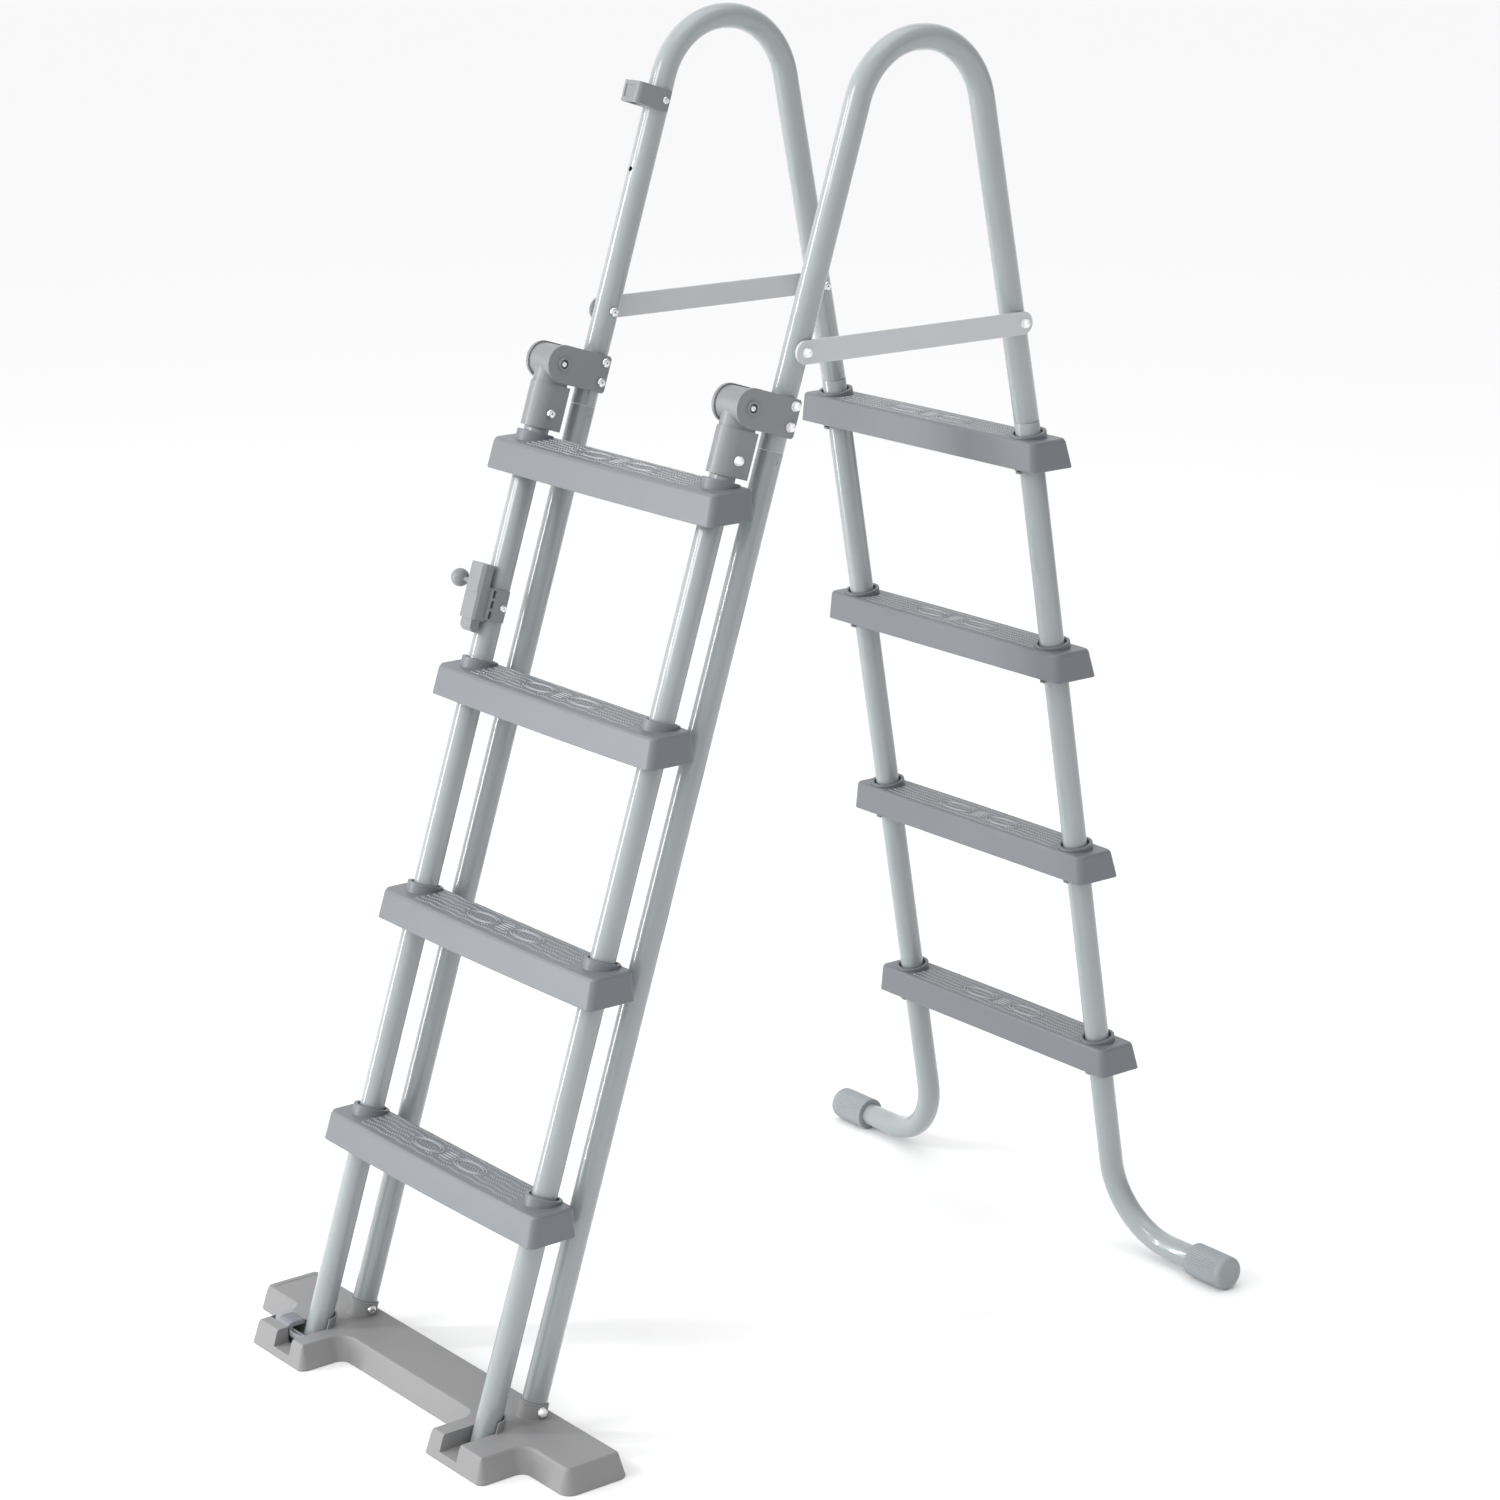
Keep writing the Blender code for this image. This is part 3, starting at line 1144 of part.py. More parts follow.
def main():
    for obj in list(bpy.data.objects):
        bpy.data.objects.remove(obj)
    mats = {
        "tube": material("tube_paint", (0.46, 0.48, 0.49), 0.28),
        "step": material("step_plastic", (0.32, 0.34, 0.37), 0.55),
        "bracket": material("bracket_plastic", (0.30, 0.31, 0.32), 0.50),
        "base": material("base_plastic", (0.42, 0.41, 0.40), 0.60),
        "cap": material("cap_plastic", (0.40, 0.40, 0.39), 0.60),
        "steel": material("plated_steel", (0.75, 0.75, 0.76), 0.20, 1.0),
        "lever": material("lever_plastic", (0.34, 0.36, 0.39), 0.45),
    }
    base_plate(mats["base"])
    for side in (-1, 1):
        outer_leg(side, mats["tube"])
        handrail(side, mats["tube"])
        pool_leg(side, mats["tube"])
        foot_cap(side, mats["cap"])
        spreader_bar(side, mats["tube"])
        hinge_bracket(side, mats["bracket"])
        hinge_elbow(side, mats["bracket"])
        swing_leg(side, mats["tube"])
        build_fasteners(side, mats["steel"])
    for index in range(STEP_COUNT):
        build_step("swing", index, swing_frame, -1, SWING_STEP_BACK, SWING_FLANGE_RISE, mats)
        build_step("pool", index, pool_frame, 1, POOL_STEP_BACK, POOL_FLANGE_RISE, mats)
    latch_housing(mats["bracket"])
    latch_spring(mats["steel"])
    catch_loop(mats["bracket"])
    slider = latch_slider(mats["bracket"])
    lever = base_latch_lever(mats["lever"])
    for obj in bpy.data.objects:
        smooth_round_faces(obj)
    pivot = swing_frame(-1) @ Vector((HALF_SPACING, 0, PIVOT_ALONG))
    for obj in bpy.data.objects:
        if obj.name.startswith(("swing_", "hinge_elbow", "elbow_bolt", "latch_")) and obj != slider:
            set_origin(obj, pivot)
    tongue_front, tongue_back = tongue_span()
    set_origin(slider, swing_frame(-1) @ Vector((0, (tongue_front + tongue_back) / 2, KNOB_ALONG)))
    front, back, _ = lever_span()
    set_origin(lever, Vector((lever_pivot_x(), (front + back) / 2, LEVER_PIVOT_Z)))


main()
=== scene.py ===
"""Looks of the pool ladder: fine meshes, materials, floor, lights and camera, in the CAD frame."""

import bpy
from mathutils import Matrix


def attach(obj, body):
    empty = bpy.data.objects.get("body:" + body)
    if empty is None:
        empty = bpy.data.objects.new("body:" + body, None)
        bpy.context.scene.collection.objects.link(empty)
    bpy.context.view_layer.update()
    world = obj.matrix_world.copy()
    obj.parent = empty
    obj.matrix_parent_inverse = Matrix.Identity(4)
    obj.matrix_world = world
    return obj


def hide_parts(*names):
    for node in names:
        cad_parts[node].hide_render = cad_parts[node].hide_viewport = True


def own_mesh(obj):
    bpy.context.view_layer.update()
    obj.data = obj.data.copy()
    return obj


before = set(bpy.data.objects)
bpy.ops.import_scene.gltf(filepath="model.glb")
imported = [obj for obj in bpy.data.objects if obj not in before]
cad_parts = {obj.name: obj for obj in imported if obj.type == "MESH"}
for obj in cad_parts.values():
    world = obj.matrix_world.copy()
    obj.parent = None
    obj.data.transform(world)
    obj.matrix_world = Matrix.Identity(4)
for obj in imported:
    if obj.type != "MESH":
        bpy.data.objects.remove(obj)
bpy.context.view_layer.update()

import math

import bmesh
import bpy
from mathutils import Matrix, Vector

# Sizes shared with the CAD model, in metres
TUBE = 0.016
WALL = 0.0015
GAP = 0.0003
HALF_SPACING = 0.191
OUTER_Y = -0.4526
OUTER_LEAN = 17.85
POOL_Y = 0.5494
POOL_LEAN = 10.11
RAIL_LEAN = 11.83
POOL_SEAM_Z = 1.170
BEND = 0.100
SWING_OFFSET = 0.0625
FOOT_AXIS = 0.0228 / math.cos(math.radians(POOL_LEAN))
CAP_START = 0.149
CAP_LENGTH = 0.066
CAP_RADIUS = 0.0228
STEP_TOPS = [0.3055 + 0.281 * i for i in range(4)]
STEP_HEIGHT = 0.038
CHEEK = 0.024
CHEEK_IN = 0.020
CHEEK_OUT = 0.0245
BARREL = 0.022
SOCKET = 0.0213
BASE_H = 0.032
NOTCH_FLOOR = 0.011
LEAN_COS = math.cos(math.radians(OUTER_LEAN))
LEAN_SIN = math.sin(math.radians(OUTER_LEAN))
TOP_ALONG = STEP_TOPS[3] / LEAN_COS
OUTER_SEAM = TOP_ALONG + 0.0339
PIVOT = TOP_ALONG + 0.0774
SWING_TOP = PIVOT - 0.034
LATCH_LOW = (STEP_TOPS[2] - SWING_OFFSET * LEAN_SIN) / LEAN_COS + 0.0548
LATCH_HIGH = LATCH_LOW + 0.0715
CATCH_LOW = 2 * PIVOT - LATCH_LOW + 0.0006
CATCH_HIGH = CATCH_LOW + 0.027
STOW_HOLE = CATCH_LOW - 0.0796
RAIL_TOP_Z = CATCH_HIGH * LEAN_COS + 0.0859
BAR_Z = 1.298
BAR_RADIUS = 0.0145
BAR_THICKNESS = 0.005
BAR_NUT_FACE = 0.0213
BRACKET_BOLTS = (("upper", 0.0150), ("lower", -0.0105))
ELBOW_BOLT_DROP = 0.064
BASE_BOLT_LIFT = 0.0425
COLLAR_OF_BASE = 0.0185
STEP_WIDTH = 0.465
STEP_DEPTH = 0.0595
STEP_CORNER = 0.009
MARK_HEIGHT = 0.00090
PUNCH = (0.0022, -0.0009, 0.0009)
PUNCH_DROP = 0.012
BOLT_HEAD = (0.0060, 0.0040)
BOLT_SHANK = 0.003
SIDE_HEAD = (0.0048, 0.0026)
PIVOT_HEAD = (0.0038, 0.0018)
PIVOT_SHANK = 0.004
BOSS_RADIUS = 0.0088
BOSS_BORE = 0.0056
NECK_FLAT = 0.0165
SOCKET_FLAT = 0.021
SOCKET_DROP = 0.0275
SOCKET_LENGTH = 0.057
CATCH_HALF = 0.0185
CATCH_CORNER = 0.007
HOUSING_SHELL = 0.003
LATCH_HALF = 0.016
LATCH_WALL = 0.0045
SADDLE_HALF = 0.0205
TONGUE_DROP = 0.016
SPRING_LOW = LATCH_LOW - 0.0072
SPRING_HIGH = LATCH_HIGH - 0.0038
SPRING_RADIUS = 0.0036
SPRING_WIRE = 0.0005
SPRING_TURNS = 7
NOTCH_REACH = TUBE + 0.002
NAMES = {-1: "left", 1: "right"}
HERE = Matrix.Identity(4)
X = Vector((1.0, 0.0, 0.0))
Y = Vector((0.0, 1.0, 0.0))
Z = Vector((0.0, 0.0, 1.0))


# ---------------------------------------------------------------- materials

def srgb(r, g, b):
    def one(v):
        v /= 255
        return v / 12.92 if v <= 0.04045 else ((v + 0.055) / 1.055) ** 2.4
    return (one(r), one(g), one(b), 1.0)


def plain(name, colour, roughness, metallic=0.0, coat=0.0, grain=0.0, grain_scale=900.0, mottle=0.0):
    """A Principled material; grain is a fine moulded texture and mottle a faint unevenness."""
    mat = bpy.data.materials.new(name)
    mat.use_nodes = True
    nodes, links = mat.node_tree.nodes, mat.node_tree.links
    shader = nodes["Principled BSDF"]
    shader.inputs["Roughness"].default_value = roughness
    shader.inputs["Metallic"].default_value = metallic
    shader.inputs["Coat Weight"].default_value = coat
    shader.inputs["Coat Roughness"].default_value = 0.08
    shader.inputs["Base Color"].default_value = colour
    place = nodes.new("ShaderNodeTexCoord")
    if mottle:
        noise = nodes.new("ShaderNodeTexNoise")
        noise.inputs["Scale"].default_value = 9.0
        noise.inputs["Detail"].default_value = 4.0
        ramp = nodes.new("ShaderNodeValToRGB")
        low = tuple(c * (1 - mottle) for c in colour[:3]) + (1.0,)
        ramp.color_ramp.elements[0].color = low
        ramp.color_ramp.elements[0].position = 0.35
        ramp.color_ramp.elements[1].color = colour
        ramp.color_ramp.elements[1].position = 0.65
        links.new(place.outputs["Object"], noise.inputs["Vector"])
        links.new(noise.outputs["Fac"], ramp.inputs["Fac"])
        links.new(ramp.outputs["Color"], shader.inputs["Base Color"])
    if grain:
        fine = nodes.new("ShaderNodeTexNoise")
        fine.inputs["Scale"].default_value = grain_scale
        fine.inputs["Detail"].default_value = 3.0
        bump = nodes.new("ShaderNodeBump")
        bump.inputs["Strength"].default_value = grain
        bump.inputs["Distance"].default_value = 0.0003
        links.new(place.outputs["Object"], fine.inputs["Vector"])
        links.new(fine.outputs["Fac"], bump.inputs["Height"])
        links.new(bump.outputs["Normal"], shader.inputs["Normal"])
    return mat


PAINT = plain("paint", srgb(148, 155, 157), 0.28, coat=0.7, grain=0.04, grain_scale=500, mottle=0.03)
STEP_MAT = plain("step_plastic", srgb(110, 114, 119), 0.42, grain=0.20, mottle=0.04)
BRACKET_MAT = plain("bracket_plastic", srgb(126, 128, 131), 0.36, grain=0.12, mottle=0.03)
BASE_MAT = plain("base_plastic", srgb(134, 134, 135), 0.56, grain=0.30, mottle=0.03)
CAP_MAT = plain("cap_plastic", srgb(142, 148, 151), 0.46, grain=0.12, mottle=0.03)
LEVER_MAT = plain("lever_plastic", srgb(146, 150, 156), 0.42, grain=0.12, mottle=0.03)
STEEL = plain("plated_steel", srgb(232, 232, 234), 0.16, metallic=1.0, grain=0.05, mottle=0.02)
BAR_MAT = plain("bar_paint", srgb(186, 189, 192), 0.34, coat=0.4, grain=0.05, grain_scale=500, mottle=0.03)
NUT_MAT = plain("bright_nut", srgb(246, 246, 247), 0.30, metallic=0.25, coat=0.3, grain=0.04, mottle=0.02)
# The raised tread dashes are coloured lighter and glossier than the step: painted highlight for the glints
# along them.
TREAD_HIGHLIGHT_MAT = plain("tread_painted_highlight", srgb(158, 162, 166), 0.28, coat=0.4, grain=0.10, mottle=0.03)
# Dark flat rings around the pivot heads are painted shade for the shadow in the recess of the bracket's boss.
PIVOT_SHADE_MAT = plain("painted_recess_shade", srgb(70, 72, 76), 0.55, metallic=0.3, grain=0.10, mottle=0.03)


# ---------------------------------------------------------------- mesh helpers

def axes_frame(origin, x, y, z):
    out = Matrix.Identity(4)
    for column, axis in enumerate((x, y, z)):
        for row in range(3):
            out[row][column] = axis[row]
    out.translation = origin
    return out


def x_frame(centre):
    return axes_frame(centre, Y, Z, X)


def leg_frame(side, foot_y, lean, offset=0.0):
    angle = math.radians(lean)
    up = Vector((0.0, math.sin(angle), math.cos(angle)))
    across = Vector((0.0, math.cos(angle), -math.sin(angle)))
    origin = Vector((side * HALF_SPACING, foot_y, 0.0)) + across * offset
    return axes_frame(origin, X, across, up)


def outer_frame(side):
    return leg_frame(side, OUTER_Y, OUTER_LEAN)


def swing_frame(side):
    return leg_frame(side, OUTER_Y, OUTER_LEAN, -SWING_OFFSET)


def pool_frame(side):
    return leg_frame(side, POOL_Y, -POOL_LEAN)


def outer_point(side, z):
    return Vector((side * HALF_SPACING, OUTER_Y + z * math.tan(math.radians(OUTER_LEAN)), z))


def rail_point(side, z):
    seam_y = POOL_Y - POOL_SEAM_Z * math.tan(math.radians(POOL_LEAN))
    return Vector((side * HALF_SPACING, seam_y - (z - POOL_SEAM_Z) * math.tan(math.radians(RAIL_LEAN)), z))


def axis_y(frame_of, z):
    """Where a leaning leg's axis is in Y at height z."""
    at = frame_of(1)
    lean = at.to_3x3() @ Z
    return at.translation.y + (z - at.translation.z) * lean.y / lean.z


def mesh_object(name, vertices, faces):
    mesh = bpy.data.meshes.new(name)
    mesh.from_pydata([tuple(v) for v in vertices], [], faces)
    work = bmesh.new()
    work.from_mesh(mesh)
    bmesh.ops.recalc_face_normals(work, faces=work.faces)
    work.to_mesh(mesh)
    work.free()
    obj = bpy.data.objects.new(name, mesh)
    bpy.context.scene.collection.objects.link(obj)
    return obj


def loft(name, rings, closed=False):
    count = len(rings[0])
    vertices = [p for ring in rings for p in ring]
    faces = []
    if not closed:
        faces = [tuple(range(count)), tuple((len(rings) - 1) * count + k for k in range(count))]
    for level in range(len(rings) if closed else len(rings) - 1):
        low = level * count
        high = ((level + 1) % len(rings)) * count
        for k in range(count):
            nxt = (k + 1) % count
            faces.append((low + k, low + nxt, high + nxt, high + k))
    return mesh_object(name, vertices, faces)


def circle(at, radius, along, sides):
    angles = [2 * math.pi * k / sides for k in range(sides)]
    return [at @ Vector((radius * math.cos(angle), radius * math.sin(angle), along)) for angle in angles]


def arc(radius, start, count, centre=(0.0, 0.0)):
    """Half a circle as count + 1 points; start is its first angle as a share of a half turn."""
    angles = [math.pi * (start + k / count) for k in range(count + 1)]
    return [(centre[0] + radius * math.cos(angle), centre[1] + radius * math.sin(angle)) for angle in angles]


def turned(name, at, profile, sides=48, closed=False):
    """A solid of revolution from (radius, along) points; closed joins the last point to the first."""
    return loft(name, [circle(at, r, z, sides) for r, z in profile], closed)


def prism(name, at, outline, low, high):
    return loft(name, [[at @ Vector((x, y, z)) for x, y in outline] for z in (low, high)])


def box(name, at, low, high):
    outline = [(low[0], low[1]), (high[0], low[1]), (high[0], high[1]), (low[0], high[1])]
    return prism(name, at, outline, low[2], high[2])


def applied(obj):
    """Bakes the object's modifiers into its mesh."""
    bpy.context.view_layer.update()
    mesh = bpy.data.meshes.new_from_object(obj.evaluated_get(bpy.context.evaluated_depsgraph_get()))
    obj.modifiers.clear()
    spare = obj.data
    obj.data = mesh
    bpy.data.meshes.remove(spare)


def boolean(obj, other, operation):
    change = obj.modifiers.new("change", "BOOLEAN")
    change.operation = operation
    change.solver = "EXACT"
    change.object = other
    applied(obj)
    bpy.data.objects.remove(other)


def cut(obj, other):
    """Takes the other solid out of the object."""
    boolean(obj, other, "DIFFERENCE")


def add(obj, other):
    """Unites the other solid with the object."""
    boolean(obj, other, "UNION")


def join(obj, others):
    """Puts other meshes into the object without changing them."""
    work = bmesh.new()
    work.from_mesh(obj.data)
    for other in others:
        work.from_mesh(other.data)
    work.to_mesh(obj.data)
    work.free()
    for other in others:
        bpy.data.objects.remove(other)


def soften(obj, width, segments=3, angle=32):
    """Rounds the edges of a moulded piece."""
    work = bmesh.new()
    work.from_mesh(obj.data)
    bmesh.ops.remove_doubles(work, verts=work.verts, dist=1e-6)
    bmesh.ops.dissolve_limit(work, angle_limit=math.radians(0.5), verts=work.verts, edges=work.edges)
    work.to_mesh(obj.data)
    work.free()
    edge = obj.modifiers.new("edge", "BEVEL")
    edge.width = width
    edge.segments = segments
    edge.limit_method = "ANGLE"
    edge.angle_limit = math.radians(angle)
    edge.use_clamp_overlap = True
    applied(obj)


def finish(obj, mat, body, nodes=(), sharp=40, weighted=True):
    """Shades a piece and ties it to its body and the CAD nodes that it stands for."""
    obj.data.materials.clear()
    obj.data.materials.append(mat)
    for face in obj.data.polygons:
        face.material_index = 0
    obj.data.shade_smooth()
    obj.data.set_sharp_from_angle(angle=math.radians(sharp))
    if weighted:
        even = obj.modifiers.new("even_normals", "WEIGHTED_NORMAL")
        even.keep_sharp = True
    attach(obj, body)
    if nodes:
        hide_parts(*nodes)
    return obj


def rounded(corners, inset=0.0, segments=8):
    """A counter-clockwise outline of (x, y, radius) corners, moved inward by inset and filleted."""
    count = len(corners)
    moved = []
    for i in range(count):
        before, here, after = (Vector(corners[j % count][:2]) for j in (i - 1, i, i + 1))
        first, second = (here - before).normalized(), (after - here).normalized()
        left_first, left_second = Vector((-first.y, first.x)), Vector((-second.y, second.x))
        half = (left_first + left_second).normalized()
        moved.append(here + half * (inset / half.dot(left_first)))
    points = []
    for i in range(count):
        here = moved[i]
        to_before = (moved[i - 1] - here).normalized()
        to_after = (moved[(i + 1) % count] - here).normalized()
        turn = to_before.x * to_after.y - to_before.y * to_after.x
        radius = corners[i][2]
        if radius == 0:
            points.append((here.x, here.y))
            continue
        radius = max(radius - inset, 0.0008) if turn < 0 else radius + inset
        half_angle = to_before.angle(to_after) / 2
        centre = here + (to_before + to_after).normalized() * (radius / math.sin(half_angle))
        start = here + to_before * (radius / math.tan(half_angle)) - centre
        sweep = (1 if turn < 0 else -1) * (math.pi - 2 * half_angle)
        for k in range(segments + 1):
            p = centre + Matrix.Rotation(sweep * k / segments, 2) @ start
            points.append((p.x, p.y))
    return points


# ---------------------------------------------------------------- tubes

def fillet(before, corner, after, radius, segments=20):
    to_before = (before - corner).normalized()
    to_after = (after - corner).normalized()
    half = to_before.angle(to_after) / 2
    centre = corner + (to_before + to_after).normalized() * (radius / math.sin(half))
    start = corner + to_before * (radius / math.tan(half)) - centre
    turn = to_before.cross(to_after).normalized()
    sweep = -(math.pi - 2 * half)
    return [centre + Matrix.Rotation(sweep * k / segments, 3, turn) @ start for k in range(segments + 1)]


def swept(name, points, sides=48):
    """A tube along a path with eased end rims and an open bore."""
    rings = []
    across = X.copy()
    last = len(points) - 1
    frames = []
    for i, point in enumerate(points):
        into = (point - points[i - 1]).normalized() if i else (points[1] - point).normalized()
        out = (points[i + 1] - point).normalized() if i < last else into
        tangent = (into + out).normalized()
        across = (across - tangent * across.dot(tangent)).normalized()
        frames.append((point, tangent, across, tangent.cross(across)))

    def ring(i, radius, shift):
        point, tangent, first, second = frames[i]
        centre = point + tangent * shift
        return [
            centre + first * (radius * math.cos(2 * math.pi * k / sides))
            + second * (radius * math.sin(2 * math.pi * k / sides))
            for k in range(sides)
        ]

    edge = 0.0007
    rings.append(ring(0, TUBE - edge, 0.0))
    rings.append(ring(0, TUBE - edge * 0.3, edge * 0.3))
    rings.append(ring(0, TUBE, edge))
    rings += [ring(i, TUBE, 0.0) for i in range(1, last)]
    rings.append(ring(last, TUBE, -edge))
    rings.append(ring(last, TUBE - edge * 0.3, -edge * 0.3))
    rings.append(ring(last, TUBE - edge, 0.0))
    rings += [ring(i, TUBE - WALL, 0.0) for i in range(last, -1, -1)]
    return loft(name, rings, closed=True)


def drill(obj, at, radius, low, high):
    cut(obj, turned("drill", at, [(radius, low), (radius, high)], sides=24))


def build_tubes(side):
    label = NAMES[side]
    at = outer_frame(side)
    floor = (0.004 + (TUBE + GAP) * LEAN_SIN) / LEAN_COS
    leg = swept(f"leg_outer_{label}", [at @ Vector((0, 0, z)) for z in (floor + GAP, 0.6, OUTER_SEAM)])
    for facing in (-1, 1):
        punch = axes_frame(at @ Vector((facing * TUBE, 0, OUTER_SEAM - PUNCH_DROP)), Y, Z, X)
        drill(leg, punch, *PUNCH)
    finish(leg, PAINT, "frame", [f"outer_leg_{label}"], weighted=False)

    start = at @ Vector((0, 0, OUTER_SEAM + GAP))
    corner_out, corner_in = outer_point(side, RAIL_TOP_Z), rail_point(side, RAIL_TOP_Z)
    end = rail_point(side, POOL_SEAM_Z + GAP)
    points = [start] + fillet(start, corner_out, corner_in, BEND)
    points += fillet(corner_out, corner_in, end, BEND) + [end]
    rail = swept(f"rail_{label}", points)
    if side < 0:
        hole = at @ Vector((0, -TUBE, STOW_HOLE))
        basis = at.to_3x3()
        drill(rail, axes_frame(hole, basis @ X, basis @ -Z, basis @ Y), 0.0035, -0.008, 0.008)
    finish(rail, PAINT, "frame", [f"handrail_{label}"], weighted=False)

    at = pool_frame(side)
    corner = at @ Vector((0, 0, FOOT_AXIS))
    outward = Vector((side, 0, 0))
    tip = corner + outward * (CAP_START + CAP_LENGTH - 0.0123)
    seam = rail_point(side, POOL_SEAM_Z)
    path = [seam] + fillet(seam, corner, corner + outward, BEND, 28) + [tip]
    leg = swept(f"leg_pool_{label}", path)
    drill(leg, axes_frame(seam + Vector((-side * TUBE, 0.0022, -PUNCH_DROP)), Y, Z, X), *PUNCH)
    finish(leg, PAINT, "frame", [f"pool_leg_{label}"], weighted=False)

    at = swing_frame(side)
    foot = (0.0046 - (SWING_OFFSET - TUBE) * LEAN_SIN) / LEAN_COS
    leg = swept(f"leg_swing_{label}", [at @ Vector((0, 0, z)) for z in (foot, 0.6, SWING_TOP)])
    finish(leg, PAINT, "swing_ladder", [f"swing_leg_{label}"], weighted=False)


def build_cap(side):
    """A foot cap with lengthwise ribs, a plain collar at its mouth and a smooth rounded tip."""
    corner = pool_frame(side) @ Vector((0, 0, FOOT_AXIS))
    outward = Vector((side, 0, 0))
    at = axes_frame(corner, Vector((0, side, 0)), Z, outward)
    start, end = CAP_START, CAP_START + CAP_LENGTH
    ribs, fine = 40, 6
    stations = [(CAP_RADIUS - 0.0010, 0.0, start), (CAP_RADIUS - 0.0002, 0.0, start + 0.0006),
                (CAP_RADIUS, 0.0006, start + 0.0020), (CAP_RADIUS, 0.0009, start + 0.0035),
                (CAP_RADIUS, 0.0009, end - 0.0110), (CAP_RADIUS, 0.0004, end - 0.0090),
                (CAP_RADIUS - 0.0003, 0.0, end - 0.0075)]
    for k in range(1, 8):
        angle = math.pi / 2 * k / 7
        radius = CAP_RADIUS - 0.0003 - 0.006 * (1 - math.cos(angle))
        stations.append((radius, 0.0, end - 0.0065 + 0.0065 * math.sin(angle)))
    stations += [(0.0120, 0.0, end), (0.0118, 0.0, end - 0.0004), (0.0030, 0.0, end - 0.0004),
                 (0.0024, 0.0, end - 0.0001), (0.0006, 0.0, end)]
    rings = []
    for radius, depth, along in stations:
        ring = []
        for k in range(ribs * fine):
            angle = 2 * math.pi * k / (ribs * fine)
            dip = 0.5 - 0.5 * math.cos(angle * ribs)
            reach = radius - depth * dip ** 2
            ring.append(at @ Vector((reach * math.cos(angle), reach * math.sin(angle), along)))
        rings.append(ring)
    cap = loft(f"cap_{NAMES[side]}", rings)
    drill(cap, at, TUBE + GAP, start - 0.01, end - 0.012)
    finish(cap, CAP_MAT, "frame", [f"foot_cap_{NAMES[side]}"], sharp=30)


# ---------------------------------------------------------------- steps

def step_outline(user, width, front, back, inset):
    half = width / 2
    corners = [(-half, -back, STEP_CORNER), (half, -back, STEP_CORNER), (half, front, STEP_CORNER)]
    shares = (0.75, 0.5, 0.25, 0.0, -0.25, -0.5, -0.75)
    corners += [(half * s, front + 0.003 * (1 - s * s), 0) for s in shares]
    corners += [(-half, front, STEP_CORNER)]
    return [(x, y * user) for x, y in rounded(corners, inset, 8)]


def tread_mark(vertices, faces, centre, length, width, angle):
    """One raised dash: a rounded low bump with sloping sides."""
    base = len(vertices)
    count = 8
    spin = Matrix.Rotation(angle, 2)
    for share, level in ((1.0, -0.0003), (0.88, MARK_HEIGHT * 0.55), (0.55, MARK_HEIGHT)):
        for k in range(count):
            turn = 2 * math.pi * (k + 0.5) / count
            p = spin @ Vector((length / 2 * share * math.cos(turn), width / 2 * share * math.sin(turn)))
            vertices.append((centre[0] + p.x, centre[1] + p.y, level))
    for ring in range(2):
        for k in range(count):
            nxt = (k + 1) % count
            low = base + ring * count
            faces.append((low + k, low + nxt, low + count + nxt, low + count + k))
    faces.append(tuple(base + 2 * count + k for k in range(count)))


def tread(name, user, front, back):
    """Wavy rows of small dashes, and in the middle two plain ovals with short bars between them."""
    vertices, faces = [], []
    rows, row_marks, pitch = 6, 72, 0.0046
    low, high = -back + 0.0070, front - 0.0095
    middle = (low + high) / 2
    ovals = (-0.047, 0.047)
    for row in range(rows):
        y0 = low + (high - low) * row / (rows - 1)
        for k in range(row_marks):
            x = (k - (row_marks - 1) / 2) * pitch
            y = y0 + 0.0011 * math.sin(x * 2 * math.pi / 0.042)
            if math.hypot(abs(x) - HALF_SPACING, y) < 0.0275:
                continue
            if any(((x - c) / 0.036) ** 2 + ((y - middle) / 0.0155) ** 2 < 1 for c in ovals):
                continue
            if abs(x) < 0.028 and abs(y - middle) < 0.0125:
                continue
            for shift, tilt in ((-0.0010, 0.55), (0.0010, -0.55)):
                place = (x + shift, (y + shift * 0.9) * user)
                tread_mark(vertices, faces, place, 0.0030, 0.0014, tilt * user)
    wide, deep, oval_marks = 0.031, 0.0125, 44
    for c in ovals:
        for share in (1.0, 0.80):
            for k in range(oval_marks):
                turn = 2 * math.pi * k / oval_marks
                place = (c + wide * share * math.cos(turn), (middle + deep * share * math.sin(turn)) * user)
                slope = math.atan2(deep * math.cos(turn), -wide * math.sin(turn))
                tread_mark(vertices, faces, place, 0.0056, 0.0014, slope * user)
        for k in range(7):
            x = c + (k - 3) * 0.0055
            tread_mark(vertices, faces, (x, middle * user), 0.0105, 0.0017, 0.9 * user)
    for row in (-1.5, -0.5, 0.5, 1.5):
        tread_mark(vertices, faces, (0.0, (middle + row * 0.0052) * user), 0.026, 0.0018, 0.0)
    return mesh_object(name, vertices, faces)


